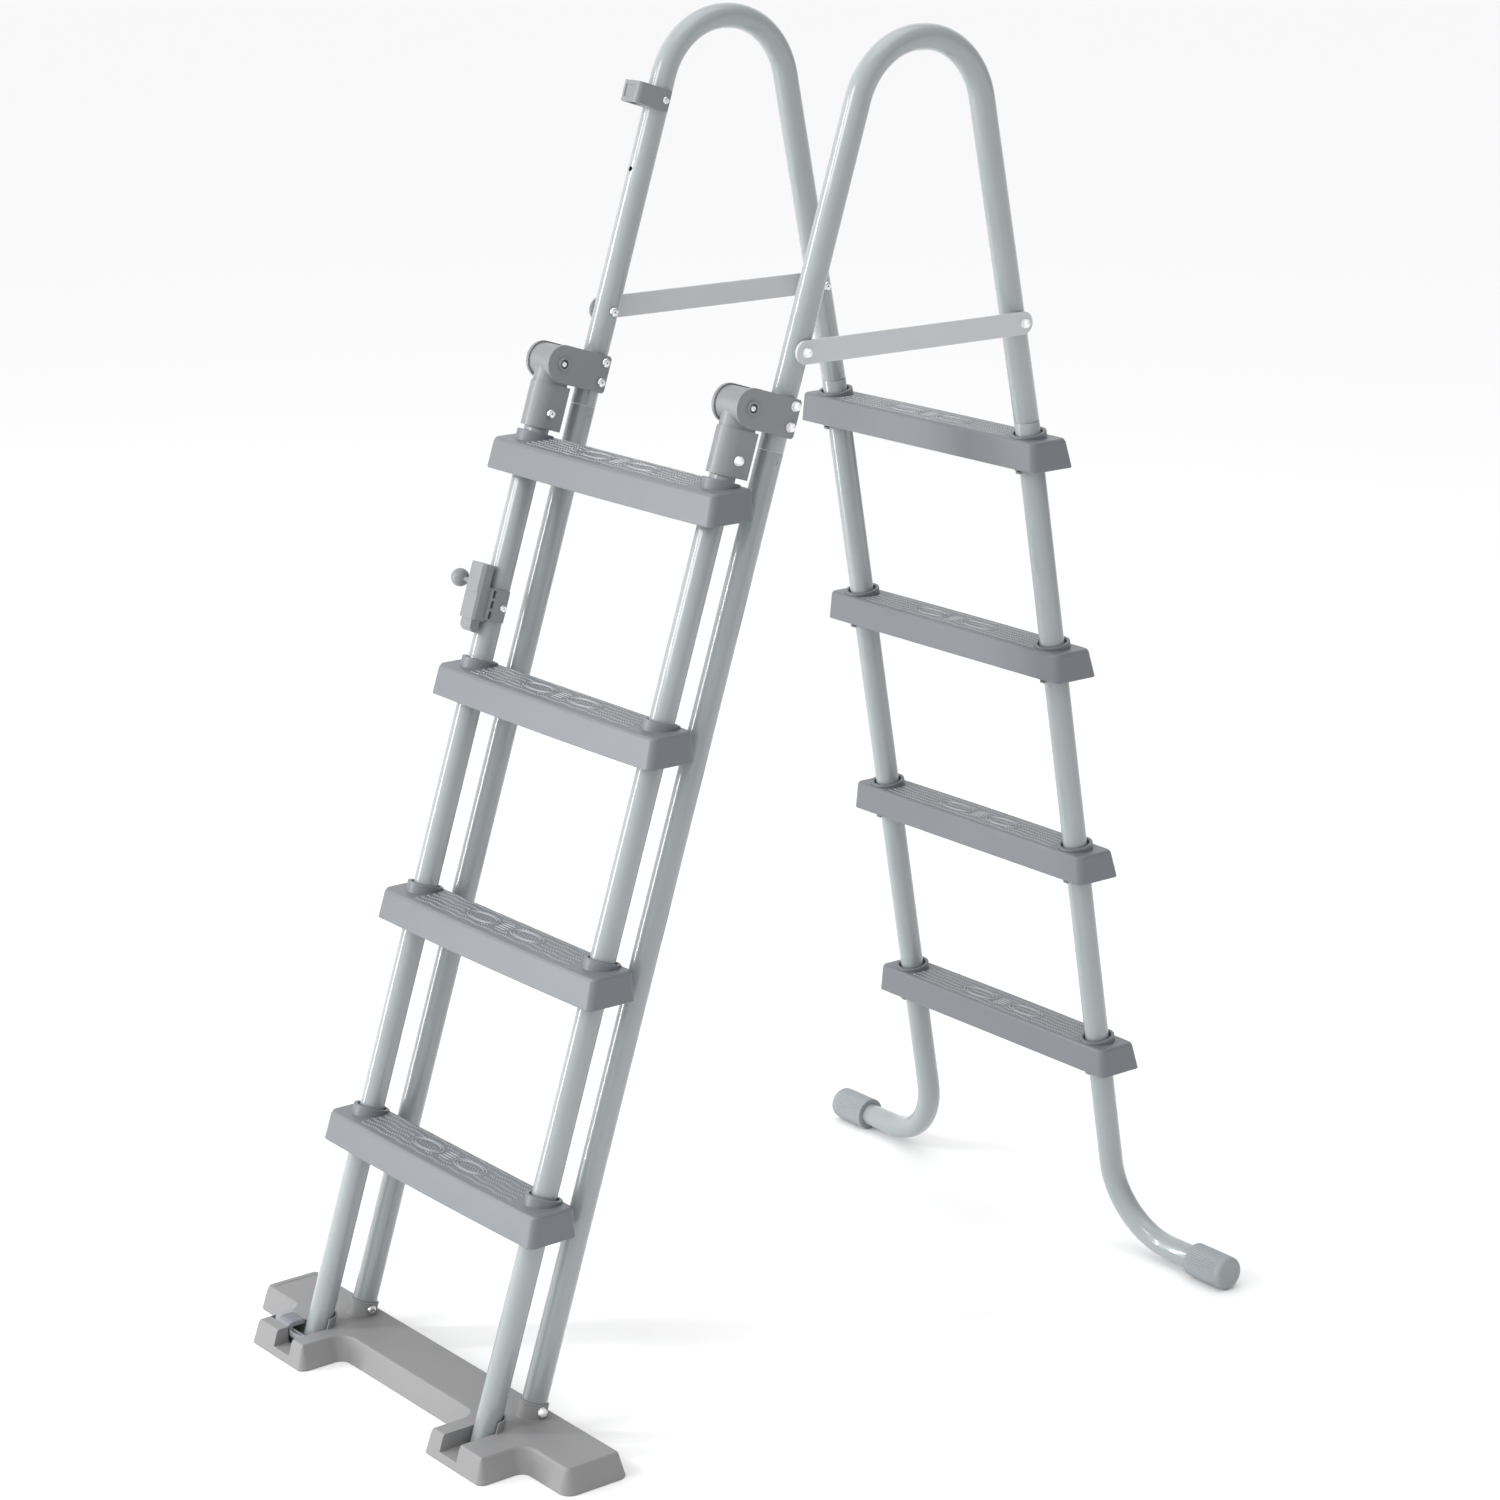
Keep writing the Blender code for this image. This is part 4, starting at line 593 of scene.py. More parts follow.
def step_mesh(name, user, frame_of, back, flange_rise):
    """One step moulding about the origin, which is the leg axis at the step's top."""
    front = STEP_DEPTH - back
    edge = 0.004
    at_world = frame_of(1)
    lean = at_world.to_3x3() @ Z

    def ring(share, inset, z):
        width = STEP_WIDTH - 0.007 * share
        drop_front, drop_back = 0.010 * (1 - share), 0.001 * (1 - share)
        outline = step_outline(user, width, front + drop_front, back + drop_back, inset)
        return [Vector((x, y, z)) for x, y in outline]

    rings = [ring(0.0, 0.0007, -STEP_HEIGHT), ring(0.02, 0.0, -STEP_HEIGHT + 0.0008)]
    rings.append(ring(1 - edge / STEP_HEIGHT, 0.0, -edge))
    for k in range(1, 7):
        angle = math.pi / 2 * k / 6
        rings.append(ring(1.0, edge * (1 - math.cos(angle)), -edge + edge * math.sin(angle)))
    shell = loft(name, rings)
    hollow = [ring(0.0, 0.0025, -STEP_HEIGHT - 0.001), ring(0.0, 0.0025, -STEP_HEIGHT),
              ring(1.0, 0.0045, -0.0025)]
    cut(shell, loft("hollow", hollow))
    ribs = []
    rib_low, rib_high, rib_half = -STEP_HEIGHT + 0.004, -0.002, 0.001
    near, far = sorted(((-back + 0.001) * user, (front + 0.002) * user))
    for k in range(-3, 4):
        x = k * 0.045
        ribs.append(box("rib", HERE, (x - rib_half, near, rib_low), (x + rib_half, far, rib_high)))
    y = 0.010 * user
    ribs.append(box("rib", HERE, (-0.150, y - rib_half, rib_low), (0.150, y + rib_half, rib_high)))
    collar_top = 0.0065 / lean.z
    flange_top = (-STEP_HEIGHT + flange_rise + 0.0015) / lean.z
    for side in (-1, 1):
        at = axes_frame(Vector((side * HALF_SPACING, 0, 0)), X, at_world.to_3x3() @ Y, lean)
        profile = [(0.0235, flange_top + GAP), (0.0235, collar_top - 0.0012), (0.0232, collar_top - 0.0004),
                   (0.0226, collar_top)]
        add(shell, turned("collar", at, profile, 64))
    for side in (-1, 1):
        at = axes_frame(Vector((side * HALF_SPACING, 0, 0)), X, at_world.to_3x3() @ Y, lean)
        drill_profile = [(0.0188, flange_top - 0.08), (0.0188, collar_top - 0.0007),
                         (0.0195, collar_top + 0.0001), (0.0195, collar_top + 0.03)]
        cut(shell, turned("bore", at, drill_profile, 64))
    join(shell, ribs)
    return shell


def sleeve_mesh(name, user, frame_of, flange_rise):
    """The split locking sleeve: a ring in the collar, a flange under the step and a small tab."""
    basis = frame_of(1).to_3x3()
    lean = basis @ Z
    at = axes_frame(Vector((0, 0, 0)), X, basis @ Y, lean)
    top = 0.0065 / lean.z - 0.006
    flange_top = (-STEP_HEIGHT + flange_rise + 0.0015) / lean.z
    bottom = flange_top - 0.003
    profile = [(0.0163, bottom), (0.0218, bottom), (0.0225, bottom + 0.0007), (0.0225, flange_top - 0.0007),
               (0.0218, flange_top), (0.0185, flange_top), (0.0185, top - 0.0006), (0.0179, top),
               (0.0168, top), (0.0163, top - 0.0006)]
    sleeve = turned(name, at, profile, 64, closed=True)
    for offset in (0.25, 1.25):
        angle = math.pi * offset
        slit = axes_frame(Vector((0, 0, 0)), X, basis @ Y, lean) @ Matrix.Rotation(angle, 4, "Z")
        cut(sleeve, box("slit", slit, (0.012, -0.0012, top - 0.010), (0.021, 0.0012, top + 0.01)))
    near, far = sorted((-user * 0.0200, -user * 0.0250))
    tab = box("tab", at, (-0.004, near, bottom - 0.001), (0.004, far, flange_top - 0.001))
    soften(tab, 0.0006, 2)
    join(sleeve, [tab])
    return sleeve


def copy_of(first, name):
    """The object itself if it has this name, or else another object with the same mesh."""
    if first.name == name:
        return first
    obj = bpy.data.objects.new(name, first.data)
    bpy.context.scene.collection.objects.link(obj)
    return obj


def build_steps():
    """Each side has four equal steps, so they share one shell, one set of marks and one sleeve."""
    kinds = (
        ("swing", -1, swing_frame, 0.021, 0.003, "swing_ladder"),
        ("pool", 1, pool_frame, 0.0275, -0.0015, "frame"),
    )
    for prefix, user, frame_of, back, rise, body in kinds:
        shell = step_mesh(f"{prefix}_tread_1", user, frame_of, back, rise)
        sleeve = sleeve_mesh(f"{prefix}_sleeve_1_left", user, frame_of, rise)
        studs = tread(f"{prefix}_studs_1", user, STEP_DEPTH - back, back)
        for number, top in enumerate(STEP_TOPS, 1):
            y = axis_y(frame_of, top)
            step = copy_of(shell, f"{prefix}_tread_{number}")
            step.location = (0, y, top)
            finish(step, STEP_MAT, body, [f"{prefix}_step_{number}"])
            # The dashes' lighter colour is painted highlight for the glints on the tread.
            marks = copy_of(studs, f"{prefix}_studs_{number}")
            marks.location = (0, y, top)
            finish(marks, TREAD_HIGHLIGHT_MAT, body, weighted=False)
            for side in (-1, 1):
                label = NAMES[side]
                ring = copy_of(sleeve, f"{prefix}_sleeve_{number}_{label}")
                ring.location = (side * HALF_SPACING, y, top)
                node = f"{prefix}_step_sleeve_{number}_{label}"
                finish(ring, BRACKET_MAT, body, [node], weighted=False)


# ---------------------------------------------------------------- fasteners

def cross_recess(at, reach, depth):
    """A tapered cross for a screw head; local Z points out of the head and 0 is its face."""
    arms = []
    for spin in (0.0, math.pi / 2):
        turn = at @ Matrix.Rotation(spin + 0.4, 4, "Z")
        square = ((-1, -1), (1, -1), (1, 1), (-1, 1))
        floor = [turn @ Vector((x * reach * 0.35, y * 0.0004, -depth)) for x, y in square]
        mouth = [turn @ Vector((x * reach, y * 0.00065, 0.001)) for x, y in square]
        arms.append(loft("arm", [floor, mouth]))
    return arms


def pan_head(name, at, radius, height):
    """A pan head screw with a cross recess; local Z points out of the seat."""
    profile = [(0.0004, 0.0), (radius, 0.0), (radius, height * 0.30)]
    for k in range(1, 8):
        angle = math.pi / 2 * k / 7
        reach = radius * (1 - 0.45 * (1 - math.cos(angle)))
        profile.append((reach, height * (0.30 + 0.70 * math.sin(angle))))
    profile.append((0.0004, height))
    head = turned(name, at, profile, 40)
    for arm in cross_recess(at @ Matrix.Translation((0, 0, height)), radius * 0.55, height * 0.55):
        cut(head, arm)
    return head


def acorn_nut(name, at):
    """A hexagonal nut with a domed end and a flat ring under it; local Z points out of the seat."""
    flat, height, dome = 0.0059, 0.0045, 0.0033
    hexagon = [(flat * math.cos(math.pi * k / 3), flat * math.sin(math.pi * k / 3)) for k in range(6)]
    nut = prism(name, at, hexagon, 0.0, height)
    profile = [(0.0062, -0.001), (0.0062, height - 0.0006), (0.0052, height + 0.0002)]
    keep = turned("keep", at, profile + [(0.0004, height + 0.0003)], 48)
    boolean(nut, keep, "INTERSECT")
    soften(nut, 0.0003, 2, 40)
    profile = [(0.0048, height - 0.001), (0.0048, height)]
    for k in range(1, 10):
        angle = math.pi / 2 * k / 9.3
        profile.append((0.0048 * math.cos(angle), height + dome * math.sin(angle)))
    join(nut, [turned("dome", at, profile, 40)])
    profile = [(0.0040, 0.0), (0.0060, 0.0), (0.0060, 0.0006), (0.0058, 0.0008), (0.0040, 0.0008)]
    join(nut, [turned("flat_ring", at, profile, 48)])
    return nut


def build_bolt(name, node, body, centre, side, head_face, nut_face):
    inward = axes_frame(centre + X * (-side * (head_face + GAP)), Y, Vector((0, 0, -side)), X * -side)
    outward = axes_frame(centre + X * (side * (nut_face + GAP)), Y, Vector((0, 0, side)), X * side)
    head = pan_head(name, inward, *BOLT_HEAD)
    shank = turned("shank", outward, [(BOLT_SHANK, -head_face - nut_face - 2 * GAP), (BOLT_SHANK, 0.0)], 24)
    join(head, [shank])
    finish(head, STEEL, body, [node], sharp=35, weighted=False)
    nut = acorn_nut(name.replace("screw", "nut"), outward)
    finish(nut, NUT_MAT, body, sharp=35, weighted=False)


def build_pivot(side):
    """The hinge pin with its two small heads, each in a dark flat ring inside the bracket's boss; the ring's
    dark colour is painted shade for the shadow in the boss's recess.
    """
    centre = swing_frame(side) @ Vector((0, 0, PIVOT))
    face = CHEEK_OUT + GAP
    heads = []
    for facing in (-1, 1):
        at = axes_frame(centre + X * (facing * face), Y, Vector((0, 0, facing)), X * facing)
        heads.append(pan_head("head", at, *PIVOT_HEAD))
        profile = [(0.0036, 0.0), (0.0053, 0.0), (0.0053, 0.0004), (0.0050, 0.0006), (0.0036, 0.0006)]
        word = "outboard" if facing == side else "inboard"
        # The dark ring under each head is painted shade for the shadow in the boss's recess.
        flat_ring = turned(f"washer_{word}_{NAMES[side]}", at, profile, 40)
        finish(flat_ring, PIVOT_SHADE_MAT, "frame", sharp=35, weighted=False)
    pin = turned(f"pivot_pin_{NAMES[side]}", x_frame(centre), [(PIVOT_SHANK, -face), (PIVOT_SHANK, face)], 32)
    join(pin, heads)
    finish(pin, STEEL, "frame", [f"pivot_bolt_{NAMES[side]}"], sharp=35, weighted=False)


def build_bolts(side):
    label = NAMES[side]
    at = outer_frame(side)
    for word, lift in BRACKET_BOLTS:
        centre = at @ Vector((0, 0, PIVOT + lift))
        build_bolt(f"screw_bracket_{word}_{label}", f"bracket_bolt_{word}_{label}", "frame",
                   centre, side, CHEEK_OUT, CHEEK_OUT)
    build_pivot(side)
    elbow = swing_frame(side) @ Vector((0, 0, PIVOT - ELBOW_BOLT_DROP))
    build_bolt(f"screw_elbow_{label}", f"elbow_bolt_{label}", "swing_ladder", elbow, side, SOCKET, SOCKET)
    base = at @ Vector((0, 0, BASE_BOLT_LIFT))
    build_bolt(f"screw_base_{label}", f"base_bolt_{label}", "frame",
               base, side, COLLAR_OF_BASE, COLLAR_OF_BASE)
    for word, centre in (("outer", outer_point(side, BAR_Z)), ("pool", rail_point(side, BAR_Z))):
        build_bolt(f"screw_bar_{word}_{label}", f"spreader_bolt_{word}_{label}", "frame",
                   centre, side, TUBE, BAR_NUT_FACE)


# ---------------------------------------------------------------- hinge

def build_bracket(side):
    at = outer_frame(side)
    basis = at.to_3x3()
    turn = axes_frame(at @ Vector((0, -SWING_OFFSET, PIVOT)), basis @ Y, basis @ Z, X)
    nose = arc(CHEEK, 0.5, 28)
    back = SWING_OFFSET + 0.009
    corners = [(back - 0.003, -CHEEK), (back, -CHEEK + 0.003), (back, CHEEK - 0.003), (back - 0.003, CHEEK)]
    obj = prism(f"bracket_{NAMES[side]}", turn, nose + corners, -CHEEK_OUT, CHEEK_OUT)
    cut(obj, box("slot", turn, (-0.06, -0.06, -CHEEK_IN), (BARREL + 0.0006, 0.06, CHEEK_IN)))
    drill(obj, at, TUBE + GAP, PIVOT - 0.06, PIVOT + 0.06)
    for facing in (-1, 1):
        face = axes_frame(turn.translation + X * (facing * CHEEK_OUT), Y, Vector((0, 0, facing)), X * facing)
        profile = [(BOSS_RADIUS, -0.002), (BOSS_RADIUS, 0.0020), (0.0085, 0.0026), (0.0080, 0.0028)]
        add(obj, turned("boss", face, profile, 48))
        cut(obj, turned("recess", face, [(BOSS_BORE, 0.0), (BOSS_BORE, 0.0022), (0.0062, 0.0030)], 48))
    soften(obj, 0.0009, 3, 35)
    finish(obj, BRACKET_MAT, "frame", [f"hinge_bracket_{NAMES[side]}"])


def build_elbow(side):
    at = swing_frame(side)
    pivot = at @ Vector((0, 0, PIVOT))
    half = CHEEK_IN - GAP
    obj = turned(f"elbow_{NAMES[side]}", x_frame(pivot), [(BARREL, -half), (BARREL, half)], 64)
    top = PIVOT - SOCKET_DROP
    neck = ("neck", half, NECK_FLAT, top - 0.005, PIVOT)
    socket = ("socket", SOCKET, SOCKET_FLAT, top - SOCKET_LENGTH, top)
    for word, radius, flat, low, high in (neck, socket):
        outline = [(radius, flat), (-radius, flat)] + arc(radius, 1, 28)
        add(obj, prism(word, at, outline, low, high))
    drill(obj, at, TUBE + GAP, top - 2 * SOCKET_LENGTH, SWING_TOP + GAP)
    soften(obj, 0.0008, 3, 35)
    finish(obj, BRACKET_MAT, "swing_ladder", [f"hinge_elbow_{NAMES[side]}"])


def build_bar(side):
    first, last = outer_point(side, BAR_Z), rail_point(side, BAR_Z)
    outline = []
    for centre, turn in ((last, -0.5), (first, 0.5)):
        outline += arc(BAR_RADIUS, turn, 24, (centre.y, centre.z))
    near = HALF_SPACING + TUBE + GAP
    low, high = sorted((side * near, side * (near + BAR_THICKNESS)))
    obj = prism(f"bar_{NAMES[side]}", x_frame(Vector((0, 0, 0))), outline, low, high)
    soften(obj, 0.0012, 3, 35)
    finish(obj, BAR_MAT, "frame", [f"spreader_bar_{NAMES[side]}"])


# ---------------------------------------------------------------- latch and catch

TONGUE_BACK = -(TUBE + 0.001 + HOUSING_SHELL + 0.0025)
TONGUE_FRONT = TONGUE_BACK - 0.020 + 0.006


def side_screws(prefix, at, half, y, z, body):
    """A screw on the outboard and on the inboard face of a moulding on the left leg."""
    basis = at.to_3x3()
    for word, x in (("outboard", -1), ("inboard", 1)):
        seat = axes_frame(at @ Vector((x * half, y, z)), basis @ Y, (basis @ Z) * x, X * x)
        head = pan_head(f"{prefix}_screw_{word}", seat, *SIDE_HEAD)
        finish(head, STEEL, body, sharp=35, weighted=False)


def build_latch():
    at = swing_frame(-1)
    front, back = TONGUE_FRONT - HOUSING_SHELL, TONGUE_BACK + HOUSING_SHELL
    half, chamfer = LATCH_HALF, 0.004
    outline = [(-half, back), (-half, front + chamfer), (-half + chamfer, front), (half - chamfer, front),
               (half, front + chamfer), (half, back)]
    obj = prism("latch_body", at, outline, LATCH_LOW, LATCH_HIGH)
    saddle_low, saddle_high = LATCH_LOW + 0.003, LATCH_LOW + 0.0435
    add(obj, box("saddle", at, (-SADDLE_HALF, back - 0.0015, saddle_low), (SADDLE_HALF, 0.006, saddle_high)))
    drill(obj, at, TUBE + GAP, LATCH_LOW - 0.016, LATCH_LOW + 0.064)
    inner = half - LATCH_WALL
    cut(obj, box("channel", at, (-inner, TONGUE_FRONT, LATCH_LOW - 0.003),
                 (inner, TONGUE_BACK, LATCH_HIGH - 0.003)))
    middle = (TONGUE_FRONT + TONGUE_BACK) / 2
    cut(obj, box("slot", at, (-0.032, middle - 0.0038, LATCH_LOW + 0.0417),
                 (-0.008, middle + 0.0038, LATCH_LOW + 0.0668)))
    pitch = (saddle_high - saddle_low) / 3
    for k in range(3):
        cut(obj, box("relief", at, (half - 0.0015, back + GAP, saddle_low + pitch * (k + 0.15)),
                     (0.0235, back + 0.0045, saddle_low + pitch * (k + 0.85))))
    cut(obj, box("gap", at, (0.0030, back - 0.0045, LATCH_LOW + 0.0440),
                 (half + 0.001, back + 0.0030, LATCH_HIGH - 0.002)))
    cut(obj, box("step", at, (-0.02, front - 0.001, LATCH_LOW - 0.001),
                 (0.02, front + 0.0008, LATCH_LOW + 0.034)))
    soften(obj, 0.0007, 3, 35)
    finish(obj, BRACKET_MAT, "swing_ladder", ["latch_housing"])
    side_screws("latch", at, SADDLE_HALF, 0.0005, LATCH_LOW + 0.0215, "swing_ladder")


def build_slider():
    at = swing_frame(-1)
    basis = at.to_3x3()
    front, back = TONGUE_FRONT + GAP, TONGUE_BACK - GAP
    half = LATCH_HALF - LATCH_WALL - GAP
    tip, top = LATCH_LOW - TONGUE_DROP, LATCH_LOW + 0.0505
    view = axes_frame(at.translation, basis @ Y, basis @ Z, X)
    outline = [(back, tip), (back, top), (front, top), (front, tip + 0.008), (front + 0.0004, tip + 0.0055),
               (front + 0.0018, tip + 0.0030), (front + 0.0040, tip + 0.0010), (front + 0.0070, tip)]
    obj = prism("tongue", view, outline, -half, half)
    middle = (front + back) / 2
    well = axes_frame(at @ Vector((0, middle, 0)), X, basis @ Y, basis @ Z)
    drill(obj, well, 0.0046, LATCH_LOW - 0.008, 1.2)
    cut(obj, box("groove", at, (-0.004, back - 0.0012, tip - 0.001), (0.004, back + 0.001, tip + 0.0135)))
    soften(obj, 0.0008, 3, 35)
    knob_at = axes_frame(at @ Vector((0, middle, LATCH_LOW + 0.0455)), -Y, Z, -X)
    profile = [(0.0031, half - 0.0015), (0.0031, 0.0310), (0.0044, 0.0316), (0.0050, 0.0322)]
    ball, reach = 0.0119, 0.0430
    for k in range(1, 24):
        angle = math.radians(-62 + 150 * k / 23)
        profile.append((ball * math.cos(angle), reach + ball * math.sin(angle)))
    join(obj, [turned("knob", knob_at, profile, 48)])
    finish(obj, BRACKET_MAT, "latch_slider", ["latch_slider"])


def build_catch():
    at = outer_frame(-1)
    low_z, high_z = CATCH_LOW, CATCH_HIGH
    pocket_back = -SWING_OFFSET - TONGUE_FRONT + 0.002
    pocket_front = -SWING_OFFSET - TONGUE_BACK - 0.0025
    front = -SWING_OFFSET + TUBE + 0.001
    half = CATCH_HALF
    corners = [(-half, front, CATCH_CORNER), (half, front, CATCH_CORNER), (half, 0.006, 0), (-half, 0.006, 0)]
    outline = rounded(corners, 0, 10)
    obj = prism("catch", at, outline, low_z, high_z)
    cut(obj, box("pocket", at, (-0.0127, pocket_front, low_z - 0.005), (0.0127, pocket_back, high_z + 0.005)))
    drill(obj, at, TUBE + GAP, low_z - 0.02, high_z + 0.02)
    cut(obj, box("window", at, (-0.0098, front - 0.002, low_z + 0.0055),
                 (0.0098, front + 0.0010, high_z - 0.0055)))
    soften(obj, 0.0007, 3, 35)
    finish(obj, BRACKET_MAT, "frame", ["catch_loop"])
    side_screws("catch", at, half, -0.001, (low_z + high_z) / 2, "frame")


def build_spring():
    """The coil behind the tongue; the real spring shortens as the latch is drawn, but this coil keeps one
    length.
    """
    at = swing_frame(-1)
    middle = (TONGUE_FRONT + TONGUE_BACK) / 2
    rings = []
    steps = SPRING_TURNS * 24
    for k in range(steps + 1):
        angle = 2 * math.pi * SPRING_TURNS * k / steps
        radial = Vector((math.cos(angle), math.sin(angle), 0))
        lift = SPRING_LOW + (SPRING_HIGH - SPRING_LOW) * k / steps
        centre = Vector((0, middle, lift)) + radial * SPRING_RADIUS
        rings.append([at @ (centre + radial * (SPRING_WIRE * math.cos(a)) + Z * (SPRING_WIRE * math.sin(a)))
                      for a in (math.pi * j / 4 for j in range(8))])
    coil = loft("coil", rings)
    finish(coil, STEEL, "swing_ladder", ["latch_spring"], weighted=False)
    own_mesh(coil)


# ---------------------------------------------------------------- base plate

HALF_DEPTH = POOL_Y - CAP_RADIUS * math.tan(math.radians(POOL_LEAN)) + CAP_RADIUS


def base_outline(inset):
    """The base plate seen from above: a bar with two blocks that reach forward."""
    bar_front, bar_back = OUTER_Y - 0.0514, OUTER_Y + 0.0436
    inner, outer = HALF_SPACING - 0.052, HALF_SPACING + 0.072
    right = [(inner, bar_front, 0.012), (inner, -HALF_DEPTH, 0.011), (outer, -HALF_DEPTH, 0.011),
             (outer, bar_front, 0.012), (0.350, bar_front, 0.016), (0.350, bar_back, 0.016)]
    left = [(-x, y, r) for x, y, r in reversed(right)]
    return rounded(left + right, inset, 8)


def leaning(name, side, outline, low, high):
    """A prism that follows the lean of a swing leg between two heights."""
    rings = []
    for z in (low, high):
        y0 = axis_y(swing_frame, z)
        rings.append([Vector((side * HALF_SPACING + x, y0 + y, z)) for x, y in outline])
    return loft(name, rings)


def lever_span():
    """The lever's front and back, and the back of its block beside the swing foot."""
    slant = TUBE / math.cos(math.radians(OUTER_LEAN))
    tongue_back = axis_y(swing_frame, 0.0195) - slant - 0.005
    front = tongue_back - 0.0085
    return front, front + 0.028, tongue_back


LEVER_X = -(HALF_SPACING + 0.072 - 0.016)
NOTCH_WALL = -(HALF_SPACING + NOTCH_REACH)
LEVER_END = NOTCH_WALL - 0.0035


def build_base():
    edge, draft = 0.0035, 0.009

    def ring(inset, z):
        return [Vector((x, y, z)) for x, y in base_outline(inset)]

    low_share = 1 - edge / BASE_H
    rings = [ring(0.0006, 0.0), ring(0.0, 0.0008), ring(draft * low_share, BASE_H - edge)]
    for k in range(1, 7):
        angle = math.pi / 2 * k / 6
        inset = draft * low_share + 0.0010 + 0.0030 * (1 - math.cos(angle))
        rings.append(ring(inset, BASE_H - edge + edge * math.sin(angle)))
    obj = loft("base", rings)
    for side in (-1, 1):
        wide = COLLAR_OF_BASE
        profile = [(wide, 0.016), (wide, 0.0468), (0.0181, 0.0471), (0.0181, 0.0477), (wide, 0.0480),
                   (wide, 0.0502), (0.0183, 0.0506), (0.0179, 0.0508)]
        add(obj, turned("socket", outer_frame(side), profile, 56))
        add(obj, leaning("cradle", side, arc(NOTCH_REACH + 0.0025, 0, 24), 0.016, BASE_H + 0.013))
    for side in (-1, 1):
        floor = (0.004 + (TUBE + GAP) * LEAN_SIN) / LEAN_COS
        drill(obj, outer_frame(side), TUBE + GAP, floor, 0.10)
        notch = [(-NOTCH_REACH, -0.6), (NOTCH_REACH, -0.6)] + arc(NOTCH_REACH, 0, 24)
        cut(obj, leaning("notch", side, notch, NOTCH_FLOOR, 0.08))
        well = arc(TUBE + 0.0012, 0, 20) + arc(TUBE + 0.0012, 1, 20, (0.0, -0.008))
        cut(obj, leaning("well", side, well, 0.004, BASE_H))
        centre = outer_frame(side) @ Vector((0, 0, BASE_BOLT_LIFT))
        drill(obj, x_frame(centre), 0.0033, -0.032, 0.032)
    front, back, tongue_back = lever_span()
    play = 0.0006
    cut(obj, box("seat", HERE, (LEVER_X - 0.0037, front - play, 0.015),
                 (NOTCH_WALL + 0.0035, back + play, 0.064)))
    cut(obj, box("slot", HERE, (NOTCH_WALL - 0.014, front - play, -0.004),
                 (-HALF_SPACING + 0.0092, tongue_back + play, 0.064)))
    bar_front, bar_back = OUTER_Y - 0.0514 + 0.0125, OUTER_Y + 0.0436 - 0.0125
    for a, b in ((0.00175, HALF_SPACING - 0.0255), (HALF_SPACING + 0.0255, 0.3375)):
        for low, high in ((a, b), (-b, -a)):
            cut(obj, box("pocket", HERE, (low, bar_front, -0.004), (high, bar_back, BASE_H - 0.0035)))
    near, far, corner = OUTER_Y - 0.036, OUTER_Y + 0.028, 0.006
    panel = [(-0.331, near, corner), (-0.252, near, corner), (-0.252, far, corner), (-0.331, far, corner)]
    panel = rounded(panel, 0, 6)
    cut(obj, prism("panel", HERE, panel, BASE_H - 0.0006, BASE_H + 0.01))
    soften(obj, 0.0006, 2, 38)
    finish(obj, BASE_MAT, "frame", ["base_plate"], sharp=35)


def build_lever():
    """The pedal: a ridged pad that slopes to its front, and an arm with a hollow block in the notch."""
    front, back, tongue_back = lever_span()
    side_view = axes_frame(Vector((0, 0, 0)), Y, Z, X)
    crest = front + 0.012
    arm_low, pad_low, pad_end = 0.0195, 0.0285, LEVER_X - 0.0025
    outline = [(front, pad_low), (back, pad_low), (back, 0.0350), (crest, 0.0350),
               (crest - 0.004, 0.0345), (crest - 0.008, 0.0328), (front, 0.0305)]
    pad = prism("lever", side_view, outline, pad_end, LEVER_END)
    plan = rounded([(pad_end, front, 0.0115), (LEVER_END, front, 0.002), (LEVER_END, back, 0.002),
                    (pad_end, back, 0.006)], 0, 10)
    boolean(pad, prism("plan", HERE, plan, 0.02, 0.04), "INTERSECT")
    add(pad, box("hinge", HERE, (LEVER_X - 0.0020, front + 0.010, 0.0225),
                 (LEVER_X + 0.0035, back - 0.001, 0.0290)))
    add(pad, box("arm", HERE, (LEVER_END - 0.007, front + 0.003, arm_low),
                 (LEVER_END - 0.0003, tongue_back, 0.0325)))
    tip = -HALF_SPACING + 0.008
    centre, half = (LEVER_END - 0.0035 + tip) / 2, (tip - LEVER_END + 0.0035) / 2
    bow = arc(1.0, 0, 24)
    rim = [(centre + half, tongue_back), (centre - half, tongue_back)]
    rim += [(centre - half * x, front + 0.0053 - 0.0050 * y) for x, y in bow]
    add(pad, prism("block", HERE, rim, arm_low, 0.0265))
    well = [(centre + half - 0.002, tongue_back - 0.0012), (centre - half + 0.004, tongue_back - 0.0012)]
    well += [(centre + 0.001 - (half - 0.003) * x, front + 0.0060 - 0.0038 * y) for x, y in bow]
    cut(pad, prism("hollow", HERE, well, 0.0215, 0.0300))
    soften(pad, 0.0006, 3, 35)
    ridges = []
    ridge_count, ridge_pitch = 8, 0.0034
    for k in range(ridge_count):
        x0 = LEVER_END - 0.0020 - ridge_pitch * k
        rings = []
        for j in range(13):
            share = j / 12
            y = front + 0.0015 + share * (back - front - 0.0023)
            lift = 0.0349 - 0.0045 * max(0.0, (crest - y) / (crest - front)) ** 1.6
            size = 0.0011 * math.sqrt(max(1 - abs(2 * share - 1) ** 6, 0.02))
            rings.append([Vector((x0 + size * math.cos(a), y, lift + 1.2 * size * math.sin(a)))
                          for a in (math.pi * i / 6 for i in range(12))])
        ridges.append(loft("ridge", rings))
    pin_at = axes_frame(Vector((LEVER_X, (front + back) / 2, 0.0245)), Z, X, Y)
    ridges.append(turned("pin", pin_at, [(0.0024, -0.0168), (0.0024, 0.0168)], 24))
    join(pad, ridges)
    finish(pad, LEVER_MAT, "base_latch_lever", ["base_latch_lever"])


# ---------------------------------------------------------------- stage

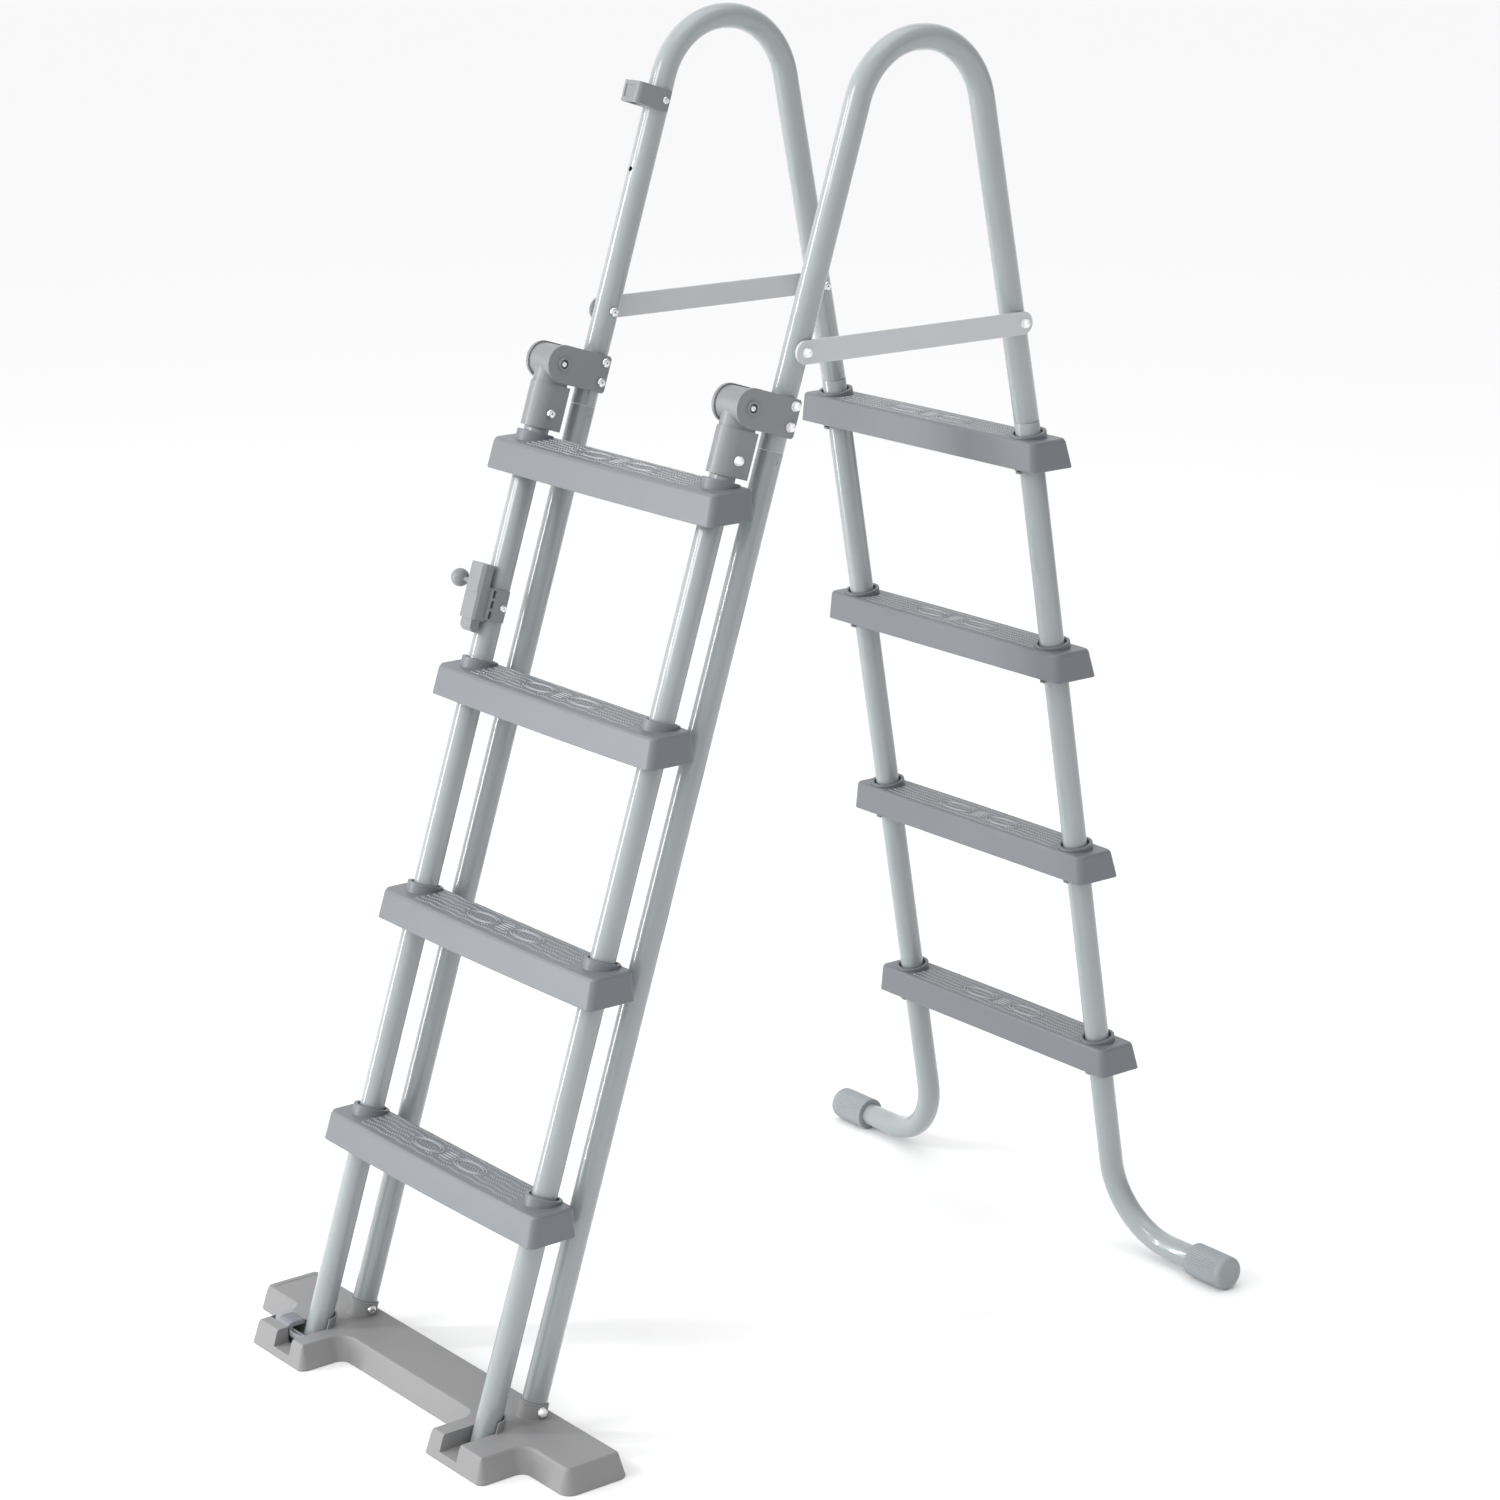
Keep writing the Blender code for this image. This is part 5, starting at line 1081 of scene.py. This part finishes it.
def build_stage():
    floor = mesh_object("floor", [(-60, -60, 0), (60, -60, 0), (60, 60, 0), (-60, 60, 0)], [(0, 1, 2, 3)])
    mat = bpy.data.materials.new("floor_paper")
    mat.use_nodes = True
    shader = mat.node_tree.nodes["Principled BSDF"]
    shader.inputs["Base Color"].default_value = (0.96, 0.96, 0.96, 1.0)
    shader.inputs["Roughness"].default_value = 0.95
    shader.inputs["Specular IOR Level"].default_value = 0.05
    floor.data.materials.append(mat)
    floor.location.z = -0.0002


def area_light(name, place, target, size, power, colour=(1.0, 1.0, 1.0)):
    light = bpy.data.lights.new(name, "AREA")
    light.shape = "RECTANGLE"
    light.size, light.size_y = size
    light.energy = power
    light.color = colour
    obj = bpy.data.objects.new(name, light)
    obj.location = place
    obj.rotation_euler = (Vector(target) - Vector(place)).to_track_quat("-Z", "Y").to_euler()
    bpy.context.scene.collection.objects.link(obj)


def build_lights():
    """A white room that is dimmer on the ladder's right, with a key, a narrow strip and a top light."""
    world = bpy.data.worlds.new("studio")
    world.use_nodes = True
    nodes, links = world.node_tree.nodes, world.node_tree.links
    back = nodes["Background"]
    back.inputs["Color"].default_value = (1.0, 1.0, 1.0, 1.0)
    place = nodes.new("ShaderNodeTexCoord")
    side = nodes.new("ShaderNodeVectorMath")
    side.operation = "DOT_PRODUCT"
    side.inputs[1].default_value = (0.62, 0.78, 0.0)
    fade = nodes.new("ShaderNodeMapRange")
    fade.inputs["From Min"].default_value = 0.22
    fade.inputs["From Max"].default_value = 0.90
    fade.inputs["To Min"].default_value = 1.12
    fade.inputs["To Max"].default_value = 0.30
    links.new(place.outputs["Generated"], side.inputs[0])
    links.new(side.outputs["Value"], fade.inputs["Value"])
    links.new(fade.outputs["Result"], back.inputs["Strength"])
    bpy.context.scene.world = world
    area_light("key", (-0.6, -3.8, 3.4), (0, 0, 0.8), (1.4, 1.4), 45)
    area_light("strip", (-2.6, -3.6, 1.6), (0, 0, 0.9), (0.22, 3.4), 110)
    area_light("top", (0.2, 0.2, 4.2), (0, 0, 0), (2.6, 2.6), 25)


def build_camera():
    azimuth, elevation = math.radians(51.93), math.radians(16.28)
    level = math.cos(elevation)
    back = Vector((math.sin(azimuth) * level, -math.cos(azimuth) * level, math.sin(elevation)))
    data = bpy.data.cameras.new("camera")
    data.lens = 90.12
    data.sensor_width = 36.0
    data.shift_x = 0.0100
    data.shift_y = 0.0225
    data.clip_end = 60
    cam = bpy.data.objects.new("camera", data)
    cam.location = (3.6415, -2.8287, 2.0567)
    cam.rotation_euler = (-back).to_track_quat("-Z", "Y").to_euler()
    bpy.context.scene.collection.objects.link(cam)
    bpy.context.scene.camera = cam


def main():
    for side in (-1, 1):
        build_tubes(side)
        build_cap(side)
        build_bracket(side)
        build_elbow(side)
        build_bar(side)
        build_bolts(side)
    build_steps()
    build_latch()
    build_slider()
    build_catch()
    build_spring()
    build_base()
    build_lever()
    build_stage()
    build_lights()
    build_camera()
    bpy.context.scene.view_settings.view_transform = "Standard"


main()
